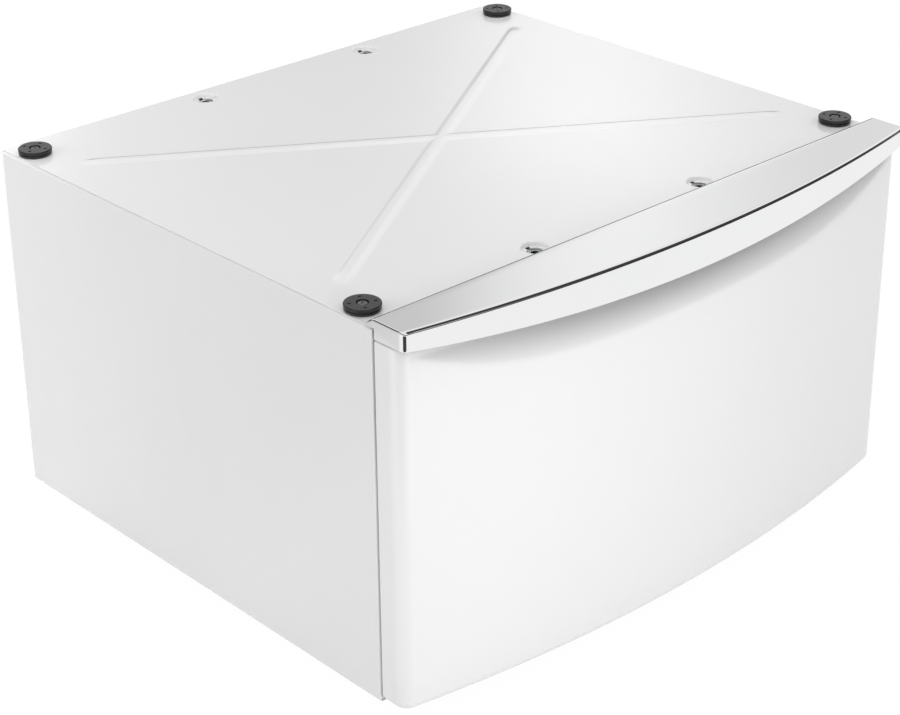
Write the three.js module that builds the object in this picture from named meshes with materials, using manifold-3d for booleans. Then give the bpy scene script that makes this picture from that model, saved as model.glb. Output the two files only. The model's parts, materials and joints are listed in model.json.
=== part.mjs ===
// A laundry pedestal: a white sheet-steel cabinet on four levelling feet, with a
// pull-out storage drawer on telescopic ball-bearing slides. A washer or dryer
// stands on the four round corner pads and is bolted down through the four
// drawn holes in the top panel.
//
// Units are millimetres. X runs across the front, Y from front to back, Z up.
// Every piece is drawn in cabinet coordinates: y = 0 is the cabinet's front
// plane and z = 0 the floor. The last group centres the whole on the origin.

import * as THREE from 'three';
import { mergeVertices } from 'three/addons/utils/BufferGeometryUtils.js';
import Module from 'manifold-3d';

const wasm = await Module();
wasm.setup();

// ---------------------------------------------------------------- dimensions

// Cabinet
const WIDTH = 686;
const CABINET_DEPTH = 570;
const CABINET_HEIGHT = 381;
const STAND_HEIGHT = 13; // floor to the cabinet's lower edge
const SHEET = 1.2; // cabinet steel
const BEND = 2.4; // outside radius of a fold
const SEAT_GAP = 0.3; // between pieces that rest on each other
const FRONT_FLANGE = 18; // side panel, folded in at the front
const FRONT_RETURN = 13; // and back again
const REAR_FLANGE = 16;
const TOP_FLANGE = 30;
const BOTTOM_FLANGE = 22;
const CORNER_NOTCH = 1.2; // relief between two flanges

// Top panel
const TOP_EDGE_INSET = 1.7; // its cut edge, in from the side panel's face
const TOP_FRONT_LIP = 16;
const TOP_REAR_LIP = 12;
const BEAD_REACH_X = 308; // ends of the pressed cross, from the panel's middle
const BEAD_REACH_Y = 200;
const BEAD_WIDTH = 20;
const BEAD_HEIGHT = 2;
const BEAD_RUNOUT = 26; // length over which a bead fades out at its end
const BEAD_TIP = 0.04; // share of the full height left at a bead's end

// Drawn holes for the appliance's hold-down bolts
const BOLT_SPACING = 226; // across, from centre to centre
const BOLT_INSET = 23.5; // from the cabinet's front and rear planes
const BOLT_STAGGER = 12; // front pair set to the left by this much, rear pair to the right
const CUP_RADIUS = 14.2;
const CUP_DEPTH = 4;
const CUP_FLOOR_BORE = 8;
const CUP_SLOPE = 2.8; // from the rim in to the floor
const CUP_OVERLAP = 0.8; // of the rim under the sheet around it
const BOLT_SLOT_WIDTH = 5;
const BOLT_SLOT_REACH = 11;
const BOLT_BORE = 4.3; // in the bar below, for an M8 bolt

// Corner pads and their screws
const PAD_RADIUS = 17;
const PAD_HEIGHT = 6.4;
const PAD_SIDE_INSET = 19.5; // pad centre from the side panel's face
const PAD_END_INSET = 34; // pad centre from the front and rear planes
const PAD_RECESS_RADIUS = 5.8;
const PAD_RECESS_DEPTH = 2;
const PAD_CHAMFER = 0.9;
const PAD_GROOVE = 1.1; // depth of the groove round its side
const PAD_SCREW_RADIUS = 2.3;
const PAD_SCREW_HEAD = 4.6;
const PAD_SCREW_BELOW = 4.8; // its tip under the top panel's face
const SCREW_TAPER = 1.5; // length of a screw's pointed end
const SCREW_HEAD_EDGE = 0.7;
const SCREW_HEAD_HEIGHT = 1.5;
const SCREW_CLEARANCE = 0.5; // a hole's radius over its screw's

// Rails across the cabinet
const RAIL_HEIGHT = 36;
const RAIL_DEPTH = 28;
const HEADER_TOP_DEPTH = 7; // short upper flange of the front top rail
const BAR_WIDTH = 26;
const BAR_FLANGE = 9;

// Levelling feet
const FOOT_SIDE_INSET = 38;
const FOOT_END_INSET = 58;
const FOOT_RADIUS = 19;
const FOOT_HEIGHT = 8.5;
const FOOT_CHAMFER = 1.5;
const FOOT_SIDE = 0.55; // share of its height that stands straight
const STUD_RADIUS = 4;
const STUD_LENGTH = 40;
const STUD_CHAMFER = 1;
const STUD_CLEARANCE = 0.3;
const BRACKET_PLATE = 2.5;
const BRACKET_LENGTH = 52;
const BRACKET_REACH = 62; // from the side panel inwards
const BRACKET_UPSTAND = 34;
const WELD_NUT_RADIUS = 8;
const WELD_NUT_HEIGHT = 7;
const LOCK_NUT_FLATS = 13;
const LOCK_NUT_HEIGHT = 4.6;

// Rubber stops behind the drawer front
const BUMPER_RADIUS = 6;
const BUMPER_INSET = 10; // from the side panel's face
const BUMPER_DROP = 72; // below the top panel

// Drawer slides, 45 mm high, in section: u runs from the cabinet to the drawer
const SLIDE_HEIGHT = 45;
const SLIDE_THICKNESS = 12.7;
const SLIDE_SHEET = 1.2;
const SLIDE_LENGTH = 500;
const SLIDE_START = 16; // outer member's front end behind the cabinet's front
const SLIDE_LEVEL = 130; // centre line above the floor
const MIDDLE_SHORTER = 20; // middle member than the outer one
const INNER_SHORTER = 4;
const OUTER_BALL = 2; // radii
const INNER_BALL = 1.75;
const BALL_CLEARANCE = 0.1;
const MID_WEB = 2.9; // centre of the middle member's web from the mounting face
const CAGE_SHEET = 0.5;
const CAGE_LENGTH = 200;
const BALLS_PER_ROW = 4;
const MOUNT_DEPTH = 20; // hat rail that carries a slide
const MOUNT_HALF = 27;
const MOUNT_FOOT = 12;

// Finger lever that frees the drawer from each slide
const LEVER_LENGTH = 58;
const LEVER_BOSS = 4;
const LEVER_PIN = 1.8;
const LEVER_PIN_CLEARANCE = 0.2;
const LEVER_AHEAD = 20; // its pin ahead of the ball cages
const LEVER_THICK = 1.6; // half height of its arm
const LEVER_HOOK = 12; // length of the bent finger end

// Drawer box
const BOX_SHEET = 1;
const BOX_BOTTOM = 57;
const BOX_HEIGHT = 275;
const BOX_OVERHANG = 4; // rear wall behind the slides' rear ends
const BOX_HEM = 10;
const BOX_HEM_DROP = 6;
const BOX_FLANGE = 16;
const BOX_TAB = 24; // front tab of each wall, screwed to the drawer front
const BOX_SCREW_INSET = 36; // from the wall's upper and lower edges
const BOX_SCREW_LENGTH = 12;

// Drawer front
const DOOR_GAP = 3; // cabinet to drawer front
const FRONT_SHEET = 1.5;
const FRONT_END_DEPTH = 31.5; // bowed face, at the ends
const FRONT_BOW = 34.5; // and this much more in the middle
const FRONT_CORNER = 15; // upright corner radius
const FRONT_EDGE = 9; // lower edge radius
const FRONT_LIFT = 2; // lower edge above the cabinet's
const FRONT_FLANGE_DEPTH = 13.5; // lower and upper flange, from the face
const SHOULDER_DROP = 9.8; // ledge for the handle's ends, below the top panel
const SHOULDER_INSET = 4.6;
const SHOULDER_EDGE = 3;
const FRONT_TOP_RISE = 3.5; // upper flange above the top panel
const SCOOP_DEPTH = 26; // finger recess
const SCOOP_REACH = 330;
const SCOOP_DROP = 70; // its lower limit in the middle, below the top panel
const SCOOP_END_DROP = 20;
const SCOOP_FULL_DROP = 20; // full depth is reached here
const INNER_PAN_DEPTH = 16;

// Handle trim
const HANDLE_RISE = 9; // above the top panel
const HANDLE_PROUD = 8; // in front of the drawer front
const HANDLE_WALL = 2.5;
const HANDLE_CORNER = 6;
const HANDLE_EDGE = 3.5;
const HANDLE_REAR = 0.5; // where its top ends, behind the cabinet's front plane
const HANDLE_LIP = 9.5; // sloping rear lip, over the top panel
const HANDLE_LIP_GAP = 0.8;
const BAND_END_DROP = 9.5; // lower edge below the top panel, at the ends
const BAND_SMILE = 17.5; // and this much lower in the middle
const HANDLE_BOSS_X = 200;
const HANDLE_BOSS_RADIUS = 5;
const HANDLE_CROWN = 0.3; // rise of its top from the edge to the middle
const HANDLE_LIP_WALL = 2.6; // at the lip's edge, measured level
const HANDLE_SCREW_HEAD = 3;
const HANDLE_SCREW_LENGTH = 5.5;
const HANDLE_HEAD_HEIGHT = 1.9;
const HANDLE_BORE_CLEARANCE = 0.2;

// Derived levels and planes
const HALF = WIDTH / 2;
const CABINET_FOOT = STAND_HEIGHT;
const TOP_FACE = STAND_HEIGHT + CABINET_HEIGHT;
const TOP_UNDERSIDE = TOP_FACE - SHEET;
const SIDE_TOP = TOP_UNDERSIDE - SEAT_GAP;
const REAR_SEAT = CABINET_DEPTH - SHEET - SEAT_GAP;
const CUP_UNDERSIDE = TOP_FACE - CUP_DEPTH - SHEET;
const BAR_TOP = CUP_UNDERSIDE - SEAT_GAP;
const BOLT_X = BOLT_SPACING / 2;
const BOLT_FRONT_Y = BOLT_INSET;
const BOLT_REAR_Y = CABINET_DEPTH - BOLT_INSET;
const PAD_X = HALF - PAD_SIDE_INSET;
const PAD_FRONT_Y = PAD_END_INSET;
const PAD_REAR_Y = CABINET_DEPTH - PAD_END_INSET;
const FOOT_X = HALF - FOOT_SIDE_INSET;
const FOOT_FRONT_Y = FOOT_END_INSET;
const FOOT_REAR_Y = CABINET_DEPTH - FOOT_END_INSET;
const BRACKET_UNDERSIDE = CABINET_FOOT + SHEET + SEAT_GAP;
const MOUNT_FACE = HALF - SHEET - SEAT_GAP - MOUNT_DEPTH; // |x| of the hat rail's inner face
const SLIDE_FACE = MOUNT_FACE - SEAT_GAP; // |x| where a slide begins
const BOX_FACE = SLIDE_FACE - SLIDE_THICKNESS - SEAT_GAP; // |x| of the drawer box
const BOX_TOP = BOX_BOTTOM + BOX_HEIGHT;
const BOX_REAR = SLIDE_START + SLIDE_LENGTH + BOX_OVERHANG;
const HANDLE_REACH = FRONT_END_DEPTH + FRONT_BOW + HANDLE_PROUD;
const FRONT_Y = (HANDLE_REACH - CABINET_DEPTH) / 2;

// Derived places inside a slide; u runs from the cabinet's side to the drawer,
// v up from the slide's centre line
const SLIDE_HALF_SHEET = SLIDE_SHEET / 2;
const OUTER_CURL = OUTER_BALL + BALL_CLEARANCE + SLIDE_HALF_SHEET;
const INNER_CURL = INNER_BALL + BALL_CLEARANCE + SLIDE_HALF_SHEET;
const BALL_LINE = MID_WEB + INNER_CURL; // u of both rows of balls
const OUTER_TOP = SLIDE_HEIGHT / 2 - SLIDE_HALF_SHEET;
const OUTER_BALL_LEVEL = OUTER_TOP - OUTER_CURL;
const MID_TOP = OUTER_BALL_LEVEL - OUTER_BALL - BALL_CLEARANCE - SLIDE_HALF_SHEET;
const INNER_BALL_LEVEL = MID_TOP - INNER_CURL;
const INNER_TOP = INNER_BALL_LEVEL - INNER_BALL - BALL_CLEARANCE - SLIDE_HALF_SHEET;
const SLIDE_MIDDLE = SLIDE_START + SLIDE_LENGTH / 2;
const MID_LENGTH = SLIDE_LENGTH - MIDDLE_SHORTER;
const INNER_LENGTH = SLIDE_LENGTH - INNER_SHORTER;
const LEVER_PIVOT_Y = SLIDE_MIDDLE - CAGE_LENGTH / 2 - LEVER_AHEAD;
const LEVER_NEAR = MID_WEB + SLIDE_HALF_SHEET + CAGE_SHEET + 4 * SEAT_GAP; // u range of the lever
const LEVER_FAR = SLIDE_THICKNESS - SLIDE_SHEET - SEAT_GAP;
const BOW_RADIUS = (HALF * HALF + FRONT_BOW * FRONT_BOW) / (2 * FRONT_BOW);
const SCREW_SHANK = PAD_SCREW_RADIUS - SCREW_CLEARANCE;

// ----------------------------------------------------------------- materials

function finish(color, roughness, metalness) {
  return new THREE.MeshStandardMaterial({ color, roughness, metalness });
}

const WHITE_PAINT = finish(0xf1f1f1, 0.3, 0);
const WHITE_FRONT = finish(0xf4f4f4, 0.25, 0);
const CHROME = finish(0xe2e3e5, 0.06, 1);
const ZINC = finish(0xb9bcbf, 0.4, 1);
const SLIDE_STEEL = finish(0xa9adb1, 0.35, 1);
const BALL_STEEL = finish(0xcfd2d5, 0.2, 1);
const BLACK_RUBBER = finish(0x2a2a2a, 0.6, 0);
const BLACK_PLASTIC = finish(0x202022, 0.45, 0);

// ------------------------------------------------------------ shape helpers

// Sides of round forms
const ROUND = 12;
const PAD_ROUND = 14;
const SMALL_ROUND = 8;
const HEX = 6;

function toSolid(geometry) {
  const bare = geometry.clone();
  bare.deleteAttribute('normal');
  bare.deleteAttribute('uv');
  const merged = mergeVertices(bare, 1e-4);
  const vertProperties = new Float32Array(merged.attributes.position.array);
  const triVerts = new Uint32Array(merged.index.array);
  return new wasm.Manifold(new wasm.Mesh({ numProp: 3, vertProperties, triVerts }));
}

function toGeometry(solid) {
  const mesh = solid.getMesh();
  const geometry = new THREE.BufferGeometry();
  geometry.setAttribute('position', new THREE.BufferAttribute(mesh.vertProperties, 3));
  geometry.setIndex(new THREE.BufferAttribute(mesh.triVerts, 1));
  return geometry;
}

function join(...geometries) {
  const solids = geometries.map(toSolid);
  return toGeometry(solids.reduce((whole, next) => whole.add(next)));
}

function cut(geometry, ...tools) {
  const solids = tools.map(toSolid);
  return toGeometry(solids.reduce((rest, tool) => rest.subtract(tool), toSolid(geometry)));
}

// A right-hand copy of a left-hand piece, with its faces still outwards.
function mirrored(geometry) {
  const copy = mergeVertices(geometry.clone());
  copy.scale(-1, 1, 1);
  const index = copy.index.array;
  for (let i = 0; i < index.length; i += 3) {
    const first = index[i];
    index[i] = index[i + 1];
    index[i + 1] = first;
  }
  return copy;
}

function extruded(shape, length, curveSegments = 6) {
  return new THREE.ExtrudeGeometry(shape, { depth: length, bevelEnabled: false, curveSegments });
}

// Section drawn as (x, z), run along y from y0 to y1.
function alongY(shape, y0, y1, curveSegments) {
  return extruded(shape, y1 - y0, curveSegments).rotateX(Math.PI / 2).translate(0, y1, 0);
}

// Section drawn as (y, z), run along x from x0 to x1.
function alongX(shape, x0, x1, curveSegments) {
  const turn = new THREE.Matrix4().set(0, 0, 1, 0, 1, 0, 0, 0, 0, 1, 0, 0, 0, 0, 0, 1);
  return extruded(shape, x1 - x0, curveSegments).applyMatrix4(turn).translate(x0, 0, 0);
}

// Section drawn as (x, y), run up z from z0 to z1.
function alongZ(shape, z0, z1, curveSegments) {
  return extruded(shape, z1 - z0, curveSegments).translate(0, 0, z0);
}

// A round bar along y.
function pinAlongY(radius, x, z, y0, y1, segments = ROUND) {
  const bar = new THREE.CylinderGeometry(radius, radius, y1 - y0, segments);
  return bar.translate(x, (y0 + y1) / 2, z);
}

function block(x0, x1, y0, y1, z0, z1) {
  const box = new THREE.BoxGeometry(x1 - x0, y1 - y0, z1 - z0);
  return box.translate((x0 + x1) / 2, (y0 + y1) / 2, (z0 + z1) / 2);
}

function rod(radius, x, y, z0, z1, segments = ROUND) {
  const bar = new THREE.CylinderGeometry(radius, radius, z1 - z0, segments);
  return bar.rotateX(Math.PI / 2).translate(x, y, (z0 + z1) / 2);
}

// A turned piece: points are (radius, height), on the z axis.
function turned(points, segments) {
  const profile = points.map(([radius, height]) => new THREE.Vector2(radius, height));
  return new THREE.LatheGeometry(profile, segments).rotateX(Math.PI / 2);
}

// The middle line of a folded sheet, with each corner rounded.
function foldedLine(corners, radius, steps = 3) {
  const line = [];
  corners.forEach(([x, y, own = radius], i) => {
    const here = new THREE.Vector2(x, y);
    if (i === 0 || i === corners.length - 1) {
      line.push(here);
      return;
    }
    const back = new THREE.Vector2(...corners[i - 1]).sub(here).normalize();
    const on = new THREE.Vector2(...corners[i + 1]).sub(here).normalize();
    const half = Math.acos(THREE.MathUtils.clamp(back.dot(on), -1, 1)) / 2;
    const setback = own / Math.tan(half);
    const centre = here.clone().addScaledVector(back.clone().add(on).normalize(), own / Math.sin(half));
    const from = here.clone().addScaledVector(back, setback).sub(centre);
    const to = here.clone().addScaledVector(on, setback).sub(centre);
    const sweep = Math.atan2(from.cross(to), from.dot(to));
    for (let k = 0; k <= steps; k += 1) {
      const spoke = from.clone().rotateAround(new THREE.Vector2(), (sweep * k) / steps);
      line.push(centre.clone().add(spoke));
    }
  });
  return line;
}

// A sheet of even thickness along a folded line, as a closed outline.
function foldedSheet(corners, thickness, radius, steps) {
  const line = foldedLine(corners, radius, steps);
  const left = [];
  const right = [];
  line.forEach((point, i) => {
    const into = i > 0
      ? point.clone().sub(line[i - 1]).normalize()
      : line[1].clone().sub(point).normalize();
    const out = i < line.length - 1
      ? line[i + 1].clone().sub(point).normalize()
      : into.clone();
    const along = into.clone().add(out).normalize();
    const side = new THREE.Vector2(-along.y, along.x);
    side.multiplyScalar(thickness / 2 / into.dot(along));
    left.push(point.clone().add(side));
    right.push(point.clone().sub(side));
  });
  const outline = left.concat(right.reverse());
  return new THREE.Shape(THREE.ShapeUtils.isClockWise(outline) ? outline.reverse() : outline);
}

// A closed body through rings of points; every ring has the same count. The
// first and last ring are capped, flattened by the two named axes.
function lofted(rings, flatU, flatV) {
  const count = rings[0].length;
  const positions = rings.flat().flatMap((point) => [point.x, point.y, point.z]);
  const index = [];
  for (let ring = 0; ring < rings.length - 1; ring += 1) {
    for (let k = 0; k < count; k += 1) {
      const next = (k + 1) % count;
      const a = ring * count + k;
      const b = ring * count + next;
      index.push(a, b, b + count, a, b + count, a + count);
    }
  }
  const capOf = (ring) => {
    const flat = ring.map((point) => new THREE.Vector2(point[flatU], point[flatV]));
    return THREE.ShapeUtils.triangulateShape(flat, []);
  };
  const last = (rings.length - 1) * count;
  const flatFirst = rings[0].map((point) => new THREE.Vector2(point[flatU], point[flatV]));
  const turnsLeft = !THREE.ShapeUtils.isClockWise(flatFirst);
  capOf(rings[0]).forEach(([a, b, c]) => index.push(...(turnsLeft ? [a, c, b] : [a, b, c])));
  capOf(rings[rings.length - 1]).forEach(([a, b, c]) => {
    index.push(...(turnsLeft ? [last + a, last + b, last + c] : [last + a, last + c, last + b]));
  });
  const geometry = new THREE.BufferGeometry();
  geometry.setAttribute('position', new THREE.Float32BufferAttribute(positions, 3));
  geometry.setIndex(index);
  return outwards(geometry);
}

// Turns a closed body the right way out, by the sign of its volume.
function outwards(geometry) {
  const place = geometry.attributes.position;
  const index = geometry.index.array;
  const corners = [new THREE.Vector3(), new THREE.Vector3(), new THREE.Vector3()];
  let volume = 0;
  for (let i = 0; i < index.length; i += 3) {
    corners.forEach((corner, k) => corner.fromBufferAttribute(place, index[i + k]));
    volume += corners[0].dot(corners[1].clone().cross(corners[2]));
  }
  if (volume < 0) {
    const reversed = Array.from(index).reverse();
    geometry.setIndex(reversed);
  }
  return geometry;
}

// ------------------------------------------------------------ cabinet pieces

function sidePanelLeft() {
  const t = SHEET / 2;
  const plan = foldedSheet([
    [-HALF + FRONT_FLANGE, FRONT_RETURN],
    [-HALF + FRONT_FLANGE, t],
    [-HALF + t, t],
    [-HALF + t, REAR_SEAT - t],
    [-HALF + REAR_FLANGE, REAR_SEAT - t],
  ], SHEET, BEND - t);
  const elevation = foldedSheet([
    [-HALF + BOTTOM_FLANGE, CABINET_FOOT + t],
    [-HALF + t, CABINET_FOOT + t],
    [-HALF + t, SIDE_TOP - t],
    [-HALF + TOP_FLANGE, SIDE_TOP - t],
  ], SHEET, BEND - t);
  const upright = alongZ(plan, CABINET_FOOT + BEND, SIDE_TOP - BEND);
  const level = alongY(elevation, BEND + CORNER_NOTCH, REAR_SEAT - BEND - CORNER_NOTCH);
  const screwHoles = [PAD_FRONT_Y, PAD_REAR_Y].map((y) => (
    rod(PAD_SCREW_RADIUS + SCREW_CLEARANCE, -PAD_X, y, SIDE_TOP - 2 * SHEET, SIDE_TOP + SHEET)
  ));
  return cut(join(upright, level), ...screwHoles);
}

function rearPanel() {
  const reach = HALF - BEND;
  const flangeReach = HALF - REAR_FLANGE - BEND;
  const low = CABINET_FOOT + SHEET + SEAT_GAP;
  const high = TOP_FACE - TOP_REAR_LIP - SEAT_GAP;
  const t = SHEET / 2;
  const face = CABINET_DEPTH - t;
  const inner = REAR_SEAT - RAIL_DEPTH / 3;
  const plate = block(-reach, reach, CABINET_DEPTH - SHEET, CABINET_DEPTH, low, high);
  const folded = foldedSheet([
    [inner, high - t],
    [face, high - t],
    [face, high - RAIL_HEIGHT],
  ], SHEET, BEND - t);
  const topFold = alongX(folded, -flangeReach, flangeReach);
  const foldRoom = block(-flangeReach, flangeReach, face - SHEET, face + SHEET, high - BEND, high + SHEET);
  return join(cut(plate, foldRoom), topFold);
}

function bareCopy(geometry) {
  const bare = geometry.clone();
  bare.deleteAttribute('normal');
  bare.deleteAttribute('uv');
  return bare;
}

// One arm of the pressed cross, as a solid of the given width and height.
function beadArm(width, height, base, mirror) {
  const halfLength = Math.hypot(BEAD_REACH_X, BEAD_REACH_Y);
  const angle = Math.atan2(BEAD_REACH_Y, BEAD_REACH_X) * mirror;
  const half = width / 2;
  const flat = half * 0.32; // half width of the crest
  const shoulder = half * 0.52;
  const flank = half * 0.8;
  const root = SHEET / 12; // the flanks start just inside the sheet
  const section = (grow) => {
    const crest = height * grow;
    return [
      [-half, -root],
      [-flank, crest * 0.22],
      [-shoulder, crest * 0.85],
      [-flat, crest],
      [flat, crest],
      [shoulder, crest * 0.85],
      [flank, crest * 0.22],
      [half, -root],
      [half, base],
      [-half, base],
    ];
  };
  const stations = [
    [-halfLength, BEAD_TIP],
    [-halfLength + BEAD_RUNOUT, 1],
    [halfLength - BEAD_RUNOUT, 1],
    [halfLength, BEAD_TIP],
  ];
  const rings = stations.map(([along, grow]) => (
    section(grow).map(([across, z]) => new THREE.Vector3(along, across, z))
  ));
  return lofted(rings, 'y', 'z').rotateZ(angle);
}

// The cup drawn down around a hold-down hole, on the z axis, rim at z = 0.
function boltCup() {
  const wall = SHEET;
  const floor = -CUP_DEPTH;
  const inner = CUP_RADIUS - CUP_SLOPE;
  const rim = CUP_RADIUS + CUP_OVERLAP;
  return turned([
    [rim, -wall * 0.2],
    [CUP_RADIUS - 0.7, -wall * 0.4],
    [CUP_RADIUS - 1.9, -wall * 1.5],
    [inner, floor],
    [CUP_FLOOR_BORE, floor],
    [CUP_FLOOR_BORE, floor - wall],
    [inner + 0.9, floor - wall],
    [CUP_RADIUS - CUP_OVERLAP, -wall * 1.8],
    [rim, -wall * 0.8],
    [rim, -wall * 0.2],
  ], ROUND);
}

function boltPlaces() {
  return [
    [-BOLT_X - BOLT_STAGGER, BOLT_FRONT_Y],
    [BOLT_X - BOLT_STAGGER, BOLT_FRONT_Y],
    [-BOLT_X + BOLT_STAGGER, BOLT_REAR_Y],
    [BOLT_X + BOLT_STAGGER, BOLT_REAR_Y],
  ];
}

function padPlaces() {
  return [
    ['front_left', -PAD_X, PAD_FRONT_Y],
    ['front_right', PAD_X, PAD_FRONT_Y],
    ['rear_left', -PAD_X, PAD_REAR_Y],
    ['rear_right', PAD_X, PAD_REAR_Y],
  ];
}

function topPanel() {
  const t = SHEET / 2;
  const reach = HALF - TOP_EDGE_INSET;
  const lipReach = HALF - FRONT_FLANGE - SHEET / 2 - SEAT_GAP;
  const middle = CABINET_DEPTH / 2;
  const plate = block(-reach, reach, BEND, CABINET_DEPTH - BEND, TOP_UNDERSIDE, TOP_FACE);
  const folded = foldedSheet([
    [t, TOP_FACE - TOP_FRONT_LIP],
    [t, TOP_FACE - t],
    [CABINET_DEPTH - t, TOP_FACE - t],
    [CABINET_DEPTH - t, TOP_FACE - TOP_REAR_LIP],
  ], SHEET, BEND - t);
  const lips = alongX(folded, -lipReach, lipReach);
  const seat = new THREE.Matrix4().makeTranslation(0, middle, TOP_FACE);
  const crests = [1, -1].map((side) => (
    beadArm(BEAD_WIDTH, BEAD_HEIGHT, -t, side).applyMatrix4(seat)
  ));
  const hollows = [1, -1].map((side) => (
    beadArm(BEAD_WIDTH - SHEET, BEAD_HEIGHT, -BEAD_HEIGHT - SHEET, side)
      .translate(0, middle, TOP_UNDERSIDE)
  ));
  const boltOpenings = boltPlaces().map(([x, y]) => (
    rod(CUP_RADIUS - 0.2, x, y, TOP_UNDERSIDE - SHEET, TOP_FACE + SHEET)
  ));
  const cups = boltPlaces().map(([x, y]) => boltCup().translate(x, y, TOP_FACE));
  const slots = boltPlaces().map(([x, y]) => block(
    x - BOLT_SLOT_WIDTH / 2,
    x + BOLT_SLOT_WIDTH / 2,
    y,
    y + BOLT_SLOT_REACH,
    CUP_UNDERSIDE - SHEET,
    TOP_FACE - CUP_DEPTH + SHEET,
  ));
  const screwHoles = padPlaces().map(([, x, y]) => (
    rod(PAD_SCREW_RADIUS + SCREW_CLEARANCE, x, y, TOP_UNDERSIDE - SHEET, TOP_FACE + SHEET)
  ));
  const pressed = cut(join(plate, lips, ...crests), ...hollows, ...boltOpenings);
  return cut(join(pressed, ...cups), ...slots, ...screwHoles);
}

// A channel rail across the cabinet, open to the back, in (y, z).
function railSection(front, low, high, upperDepth, lowerDepth) {
  const t = SHEET / 2;
  return foldedSheet([
    [front + upperDepth, high - t],
    [front + t, high - t],
    [front + t, low + t],
    [front + lowerDepth, low + t],
  ], SHEET, BEND - t);
}

function frontTopRail() {
  const reach = HALF - FRONT_FLANGE - SHEET / 2 - SEAT_GAP;
  const front = SHEET + SEAT_GAP;
  const high = SIDE_TOP - SHEET - SEAT_GAP;
  const section = railSection(front, high - RAIL_HEIGHT, high, HEADER_TOP_DEPTH, RAIL_DEPTH);
  return alongX(section, -reach, reach);
}

function frontBaseRail() {
  const reach = HALF - FRONT_FLANGE - SHEET / 2 - SEAT_GAP;
  const low = CABINET_FOOT + SHEET + SEAT_GAP;
  const section = railSection(SHEET + SEAT_GAP, low, low + RAIL_HEIGHT, RAIL_DEPTH, RAIL_DEPTH);
  return alongX(section, -reach, reach);
}

function rearBaseRail() {
  const reach = HALF - BOTTOM_FLANGE - SEAT_GAP;
  const low = CABINET_FOOT + SHEET + SEAT_GAP;
  const t = SHEET / 2;
  const rear = REAR_SEAT - SHEET - SEAT_GAP;
  const section = foldedSheet([
    [rear - RAIL_DEPTH, low + RAIL_HEIGHT - t],
    [rear - t, low + RAIL_HEIGHT - t],
    [rear - t, low + t],
    [rear - RAIL_DEPTH, low + t],
  ], SHEET, BEND - t);
  return alongX(section, -reach, reach);
}

// Hat-shaped bar under the drawn holes; the hold-down bolts screw into it.
function mountBar(boltY) {
  const reach = HALF - SHEET - SEAT_GAP;
  const t = SHEET / 2;
  const inward = boltY < CABINET_DEPTH / 2 ? 1 : -1;
  const near = boltY - inward * (BAR_WIDTH / 4);
  const far = near + inward * BAR_WIDTH;
  const section = foldedSheet([
    [near, BAR_TOP - BAR_FLANGE],
    [near, BAR_TOP - t],
    [far, BAR_TOP - t],
    [far, BAR_TOP - BAR_FLANGE],
  ], SHEET, BEND - t);
  const bolts = boltPlaces().filter(([, y]) => y === boltY).map(([x, y]) => (
    rod(BOLT_BORE, x, y, BAR_TOP - 2 * SHEET, BAR_TOP + SHEET)
  ));
  return cut(alongX(section, -reach, reach), ...bolts);
}

function cornerPad(x, y) {
  const ring = PAD_RADIUS;
  const h = PAD_HEIGHT;
  return turned([
    [PAD_SCREW_RADIUS + SCREW_CLEARANCE, 0],
    [ring - 0.8, 0],
    [ring - 0.3, h * 0.38],
    [ring - PAD_GROOVE, h * 0.44],
    [ring - PAD_GROOVE, h * 0.54],
    [ring, h * 0.6],
    [ring, h * 0.88],
    [ring - PAD_CHAMFER, h],
    [PAD_RECESS_RADIUS, h],
    [PAD_RECESS_RADIUS, h - PAD_RECESS_DEPTH],
    [PAD_SCREW_RADIUS + SCREW_CLEARANCE, h - PAD_RECESS_DEPTH],
    [PAD_SCREW_RADIUS + SCREW_CLEARANCE, 0],
  ], PAD_ROUND).translate(x, y, TOP_FACE + SEAT_GAP);
}

function padScrew(x, y) {
  const seat = PAD_HEIGHT - PAD_RECESS_DEPTH + SEAT_GAP;
  const tip = -PAD_SCREW_BELOW - SEAT_GAP;
  return turned([
    [0, tip],
    [PAD_SCREW_RADIUS * 0.5, tip],
    [PAD_SCREW_RADIUS, tip + SCREW_TAPER],
    [PAD_SCREW_RADIUS, seat],
    [PAD_SCREW_HEAD, seat],
    [PAD_SCREW_HEAD, seat + SCREW_HEAD_EDGE],
    [PAD_SCREW_HEAD * 0.6, seat + SCREW_HEAD_HEIGHT - 0.1],
    [0, seat + SCREW_HEAD_HEIGHT],
  ], SMALL_ROUND).translate(x, y, TOP_FACE + SEAT_GAP);
}

// Corner bracket in the cabinet's foot, with the weld nut that takes the stud.
function footBracketLeft(footY) {
  const wall = -HALF + SHEET + SEAT_GAP;
  const t = BRACKET_PLATE / 2;
  const section = foldedSheet([
    [wall + t, BRACKET_UNDERSIDE + BRACKET_UPSTAND],
    [wall + t, BRACKET_UNDERSIDE + t],
    [-HALF + BRACKET_REACH, BRACKET_UNDERSIDE + t],
  ], BRACKET_PLATE, BRACKET_PLATE);
  const plate = alongY(section, footY - BRACKET_LENGTH / 2, footY + BRACKET_LENGTH / 2);
  const top = BRACKET_UNDERSIDE + BRACKET_PLATE;
  const nutTop = top + WELD_NUT_HEIGHT;
  const nut = rod(WELD_NUT_RADIUS, -FOOT_X, footY, top - t, nutTop, HEX);
  const bore = rod(STUD_RADIUS + STUD_CLEARANCE, -FOOT_X, footY, BRACKET_UNDERSIDE - t, nutTop + t);
  return cut(join(plate, nut), bore);
}

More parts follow.
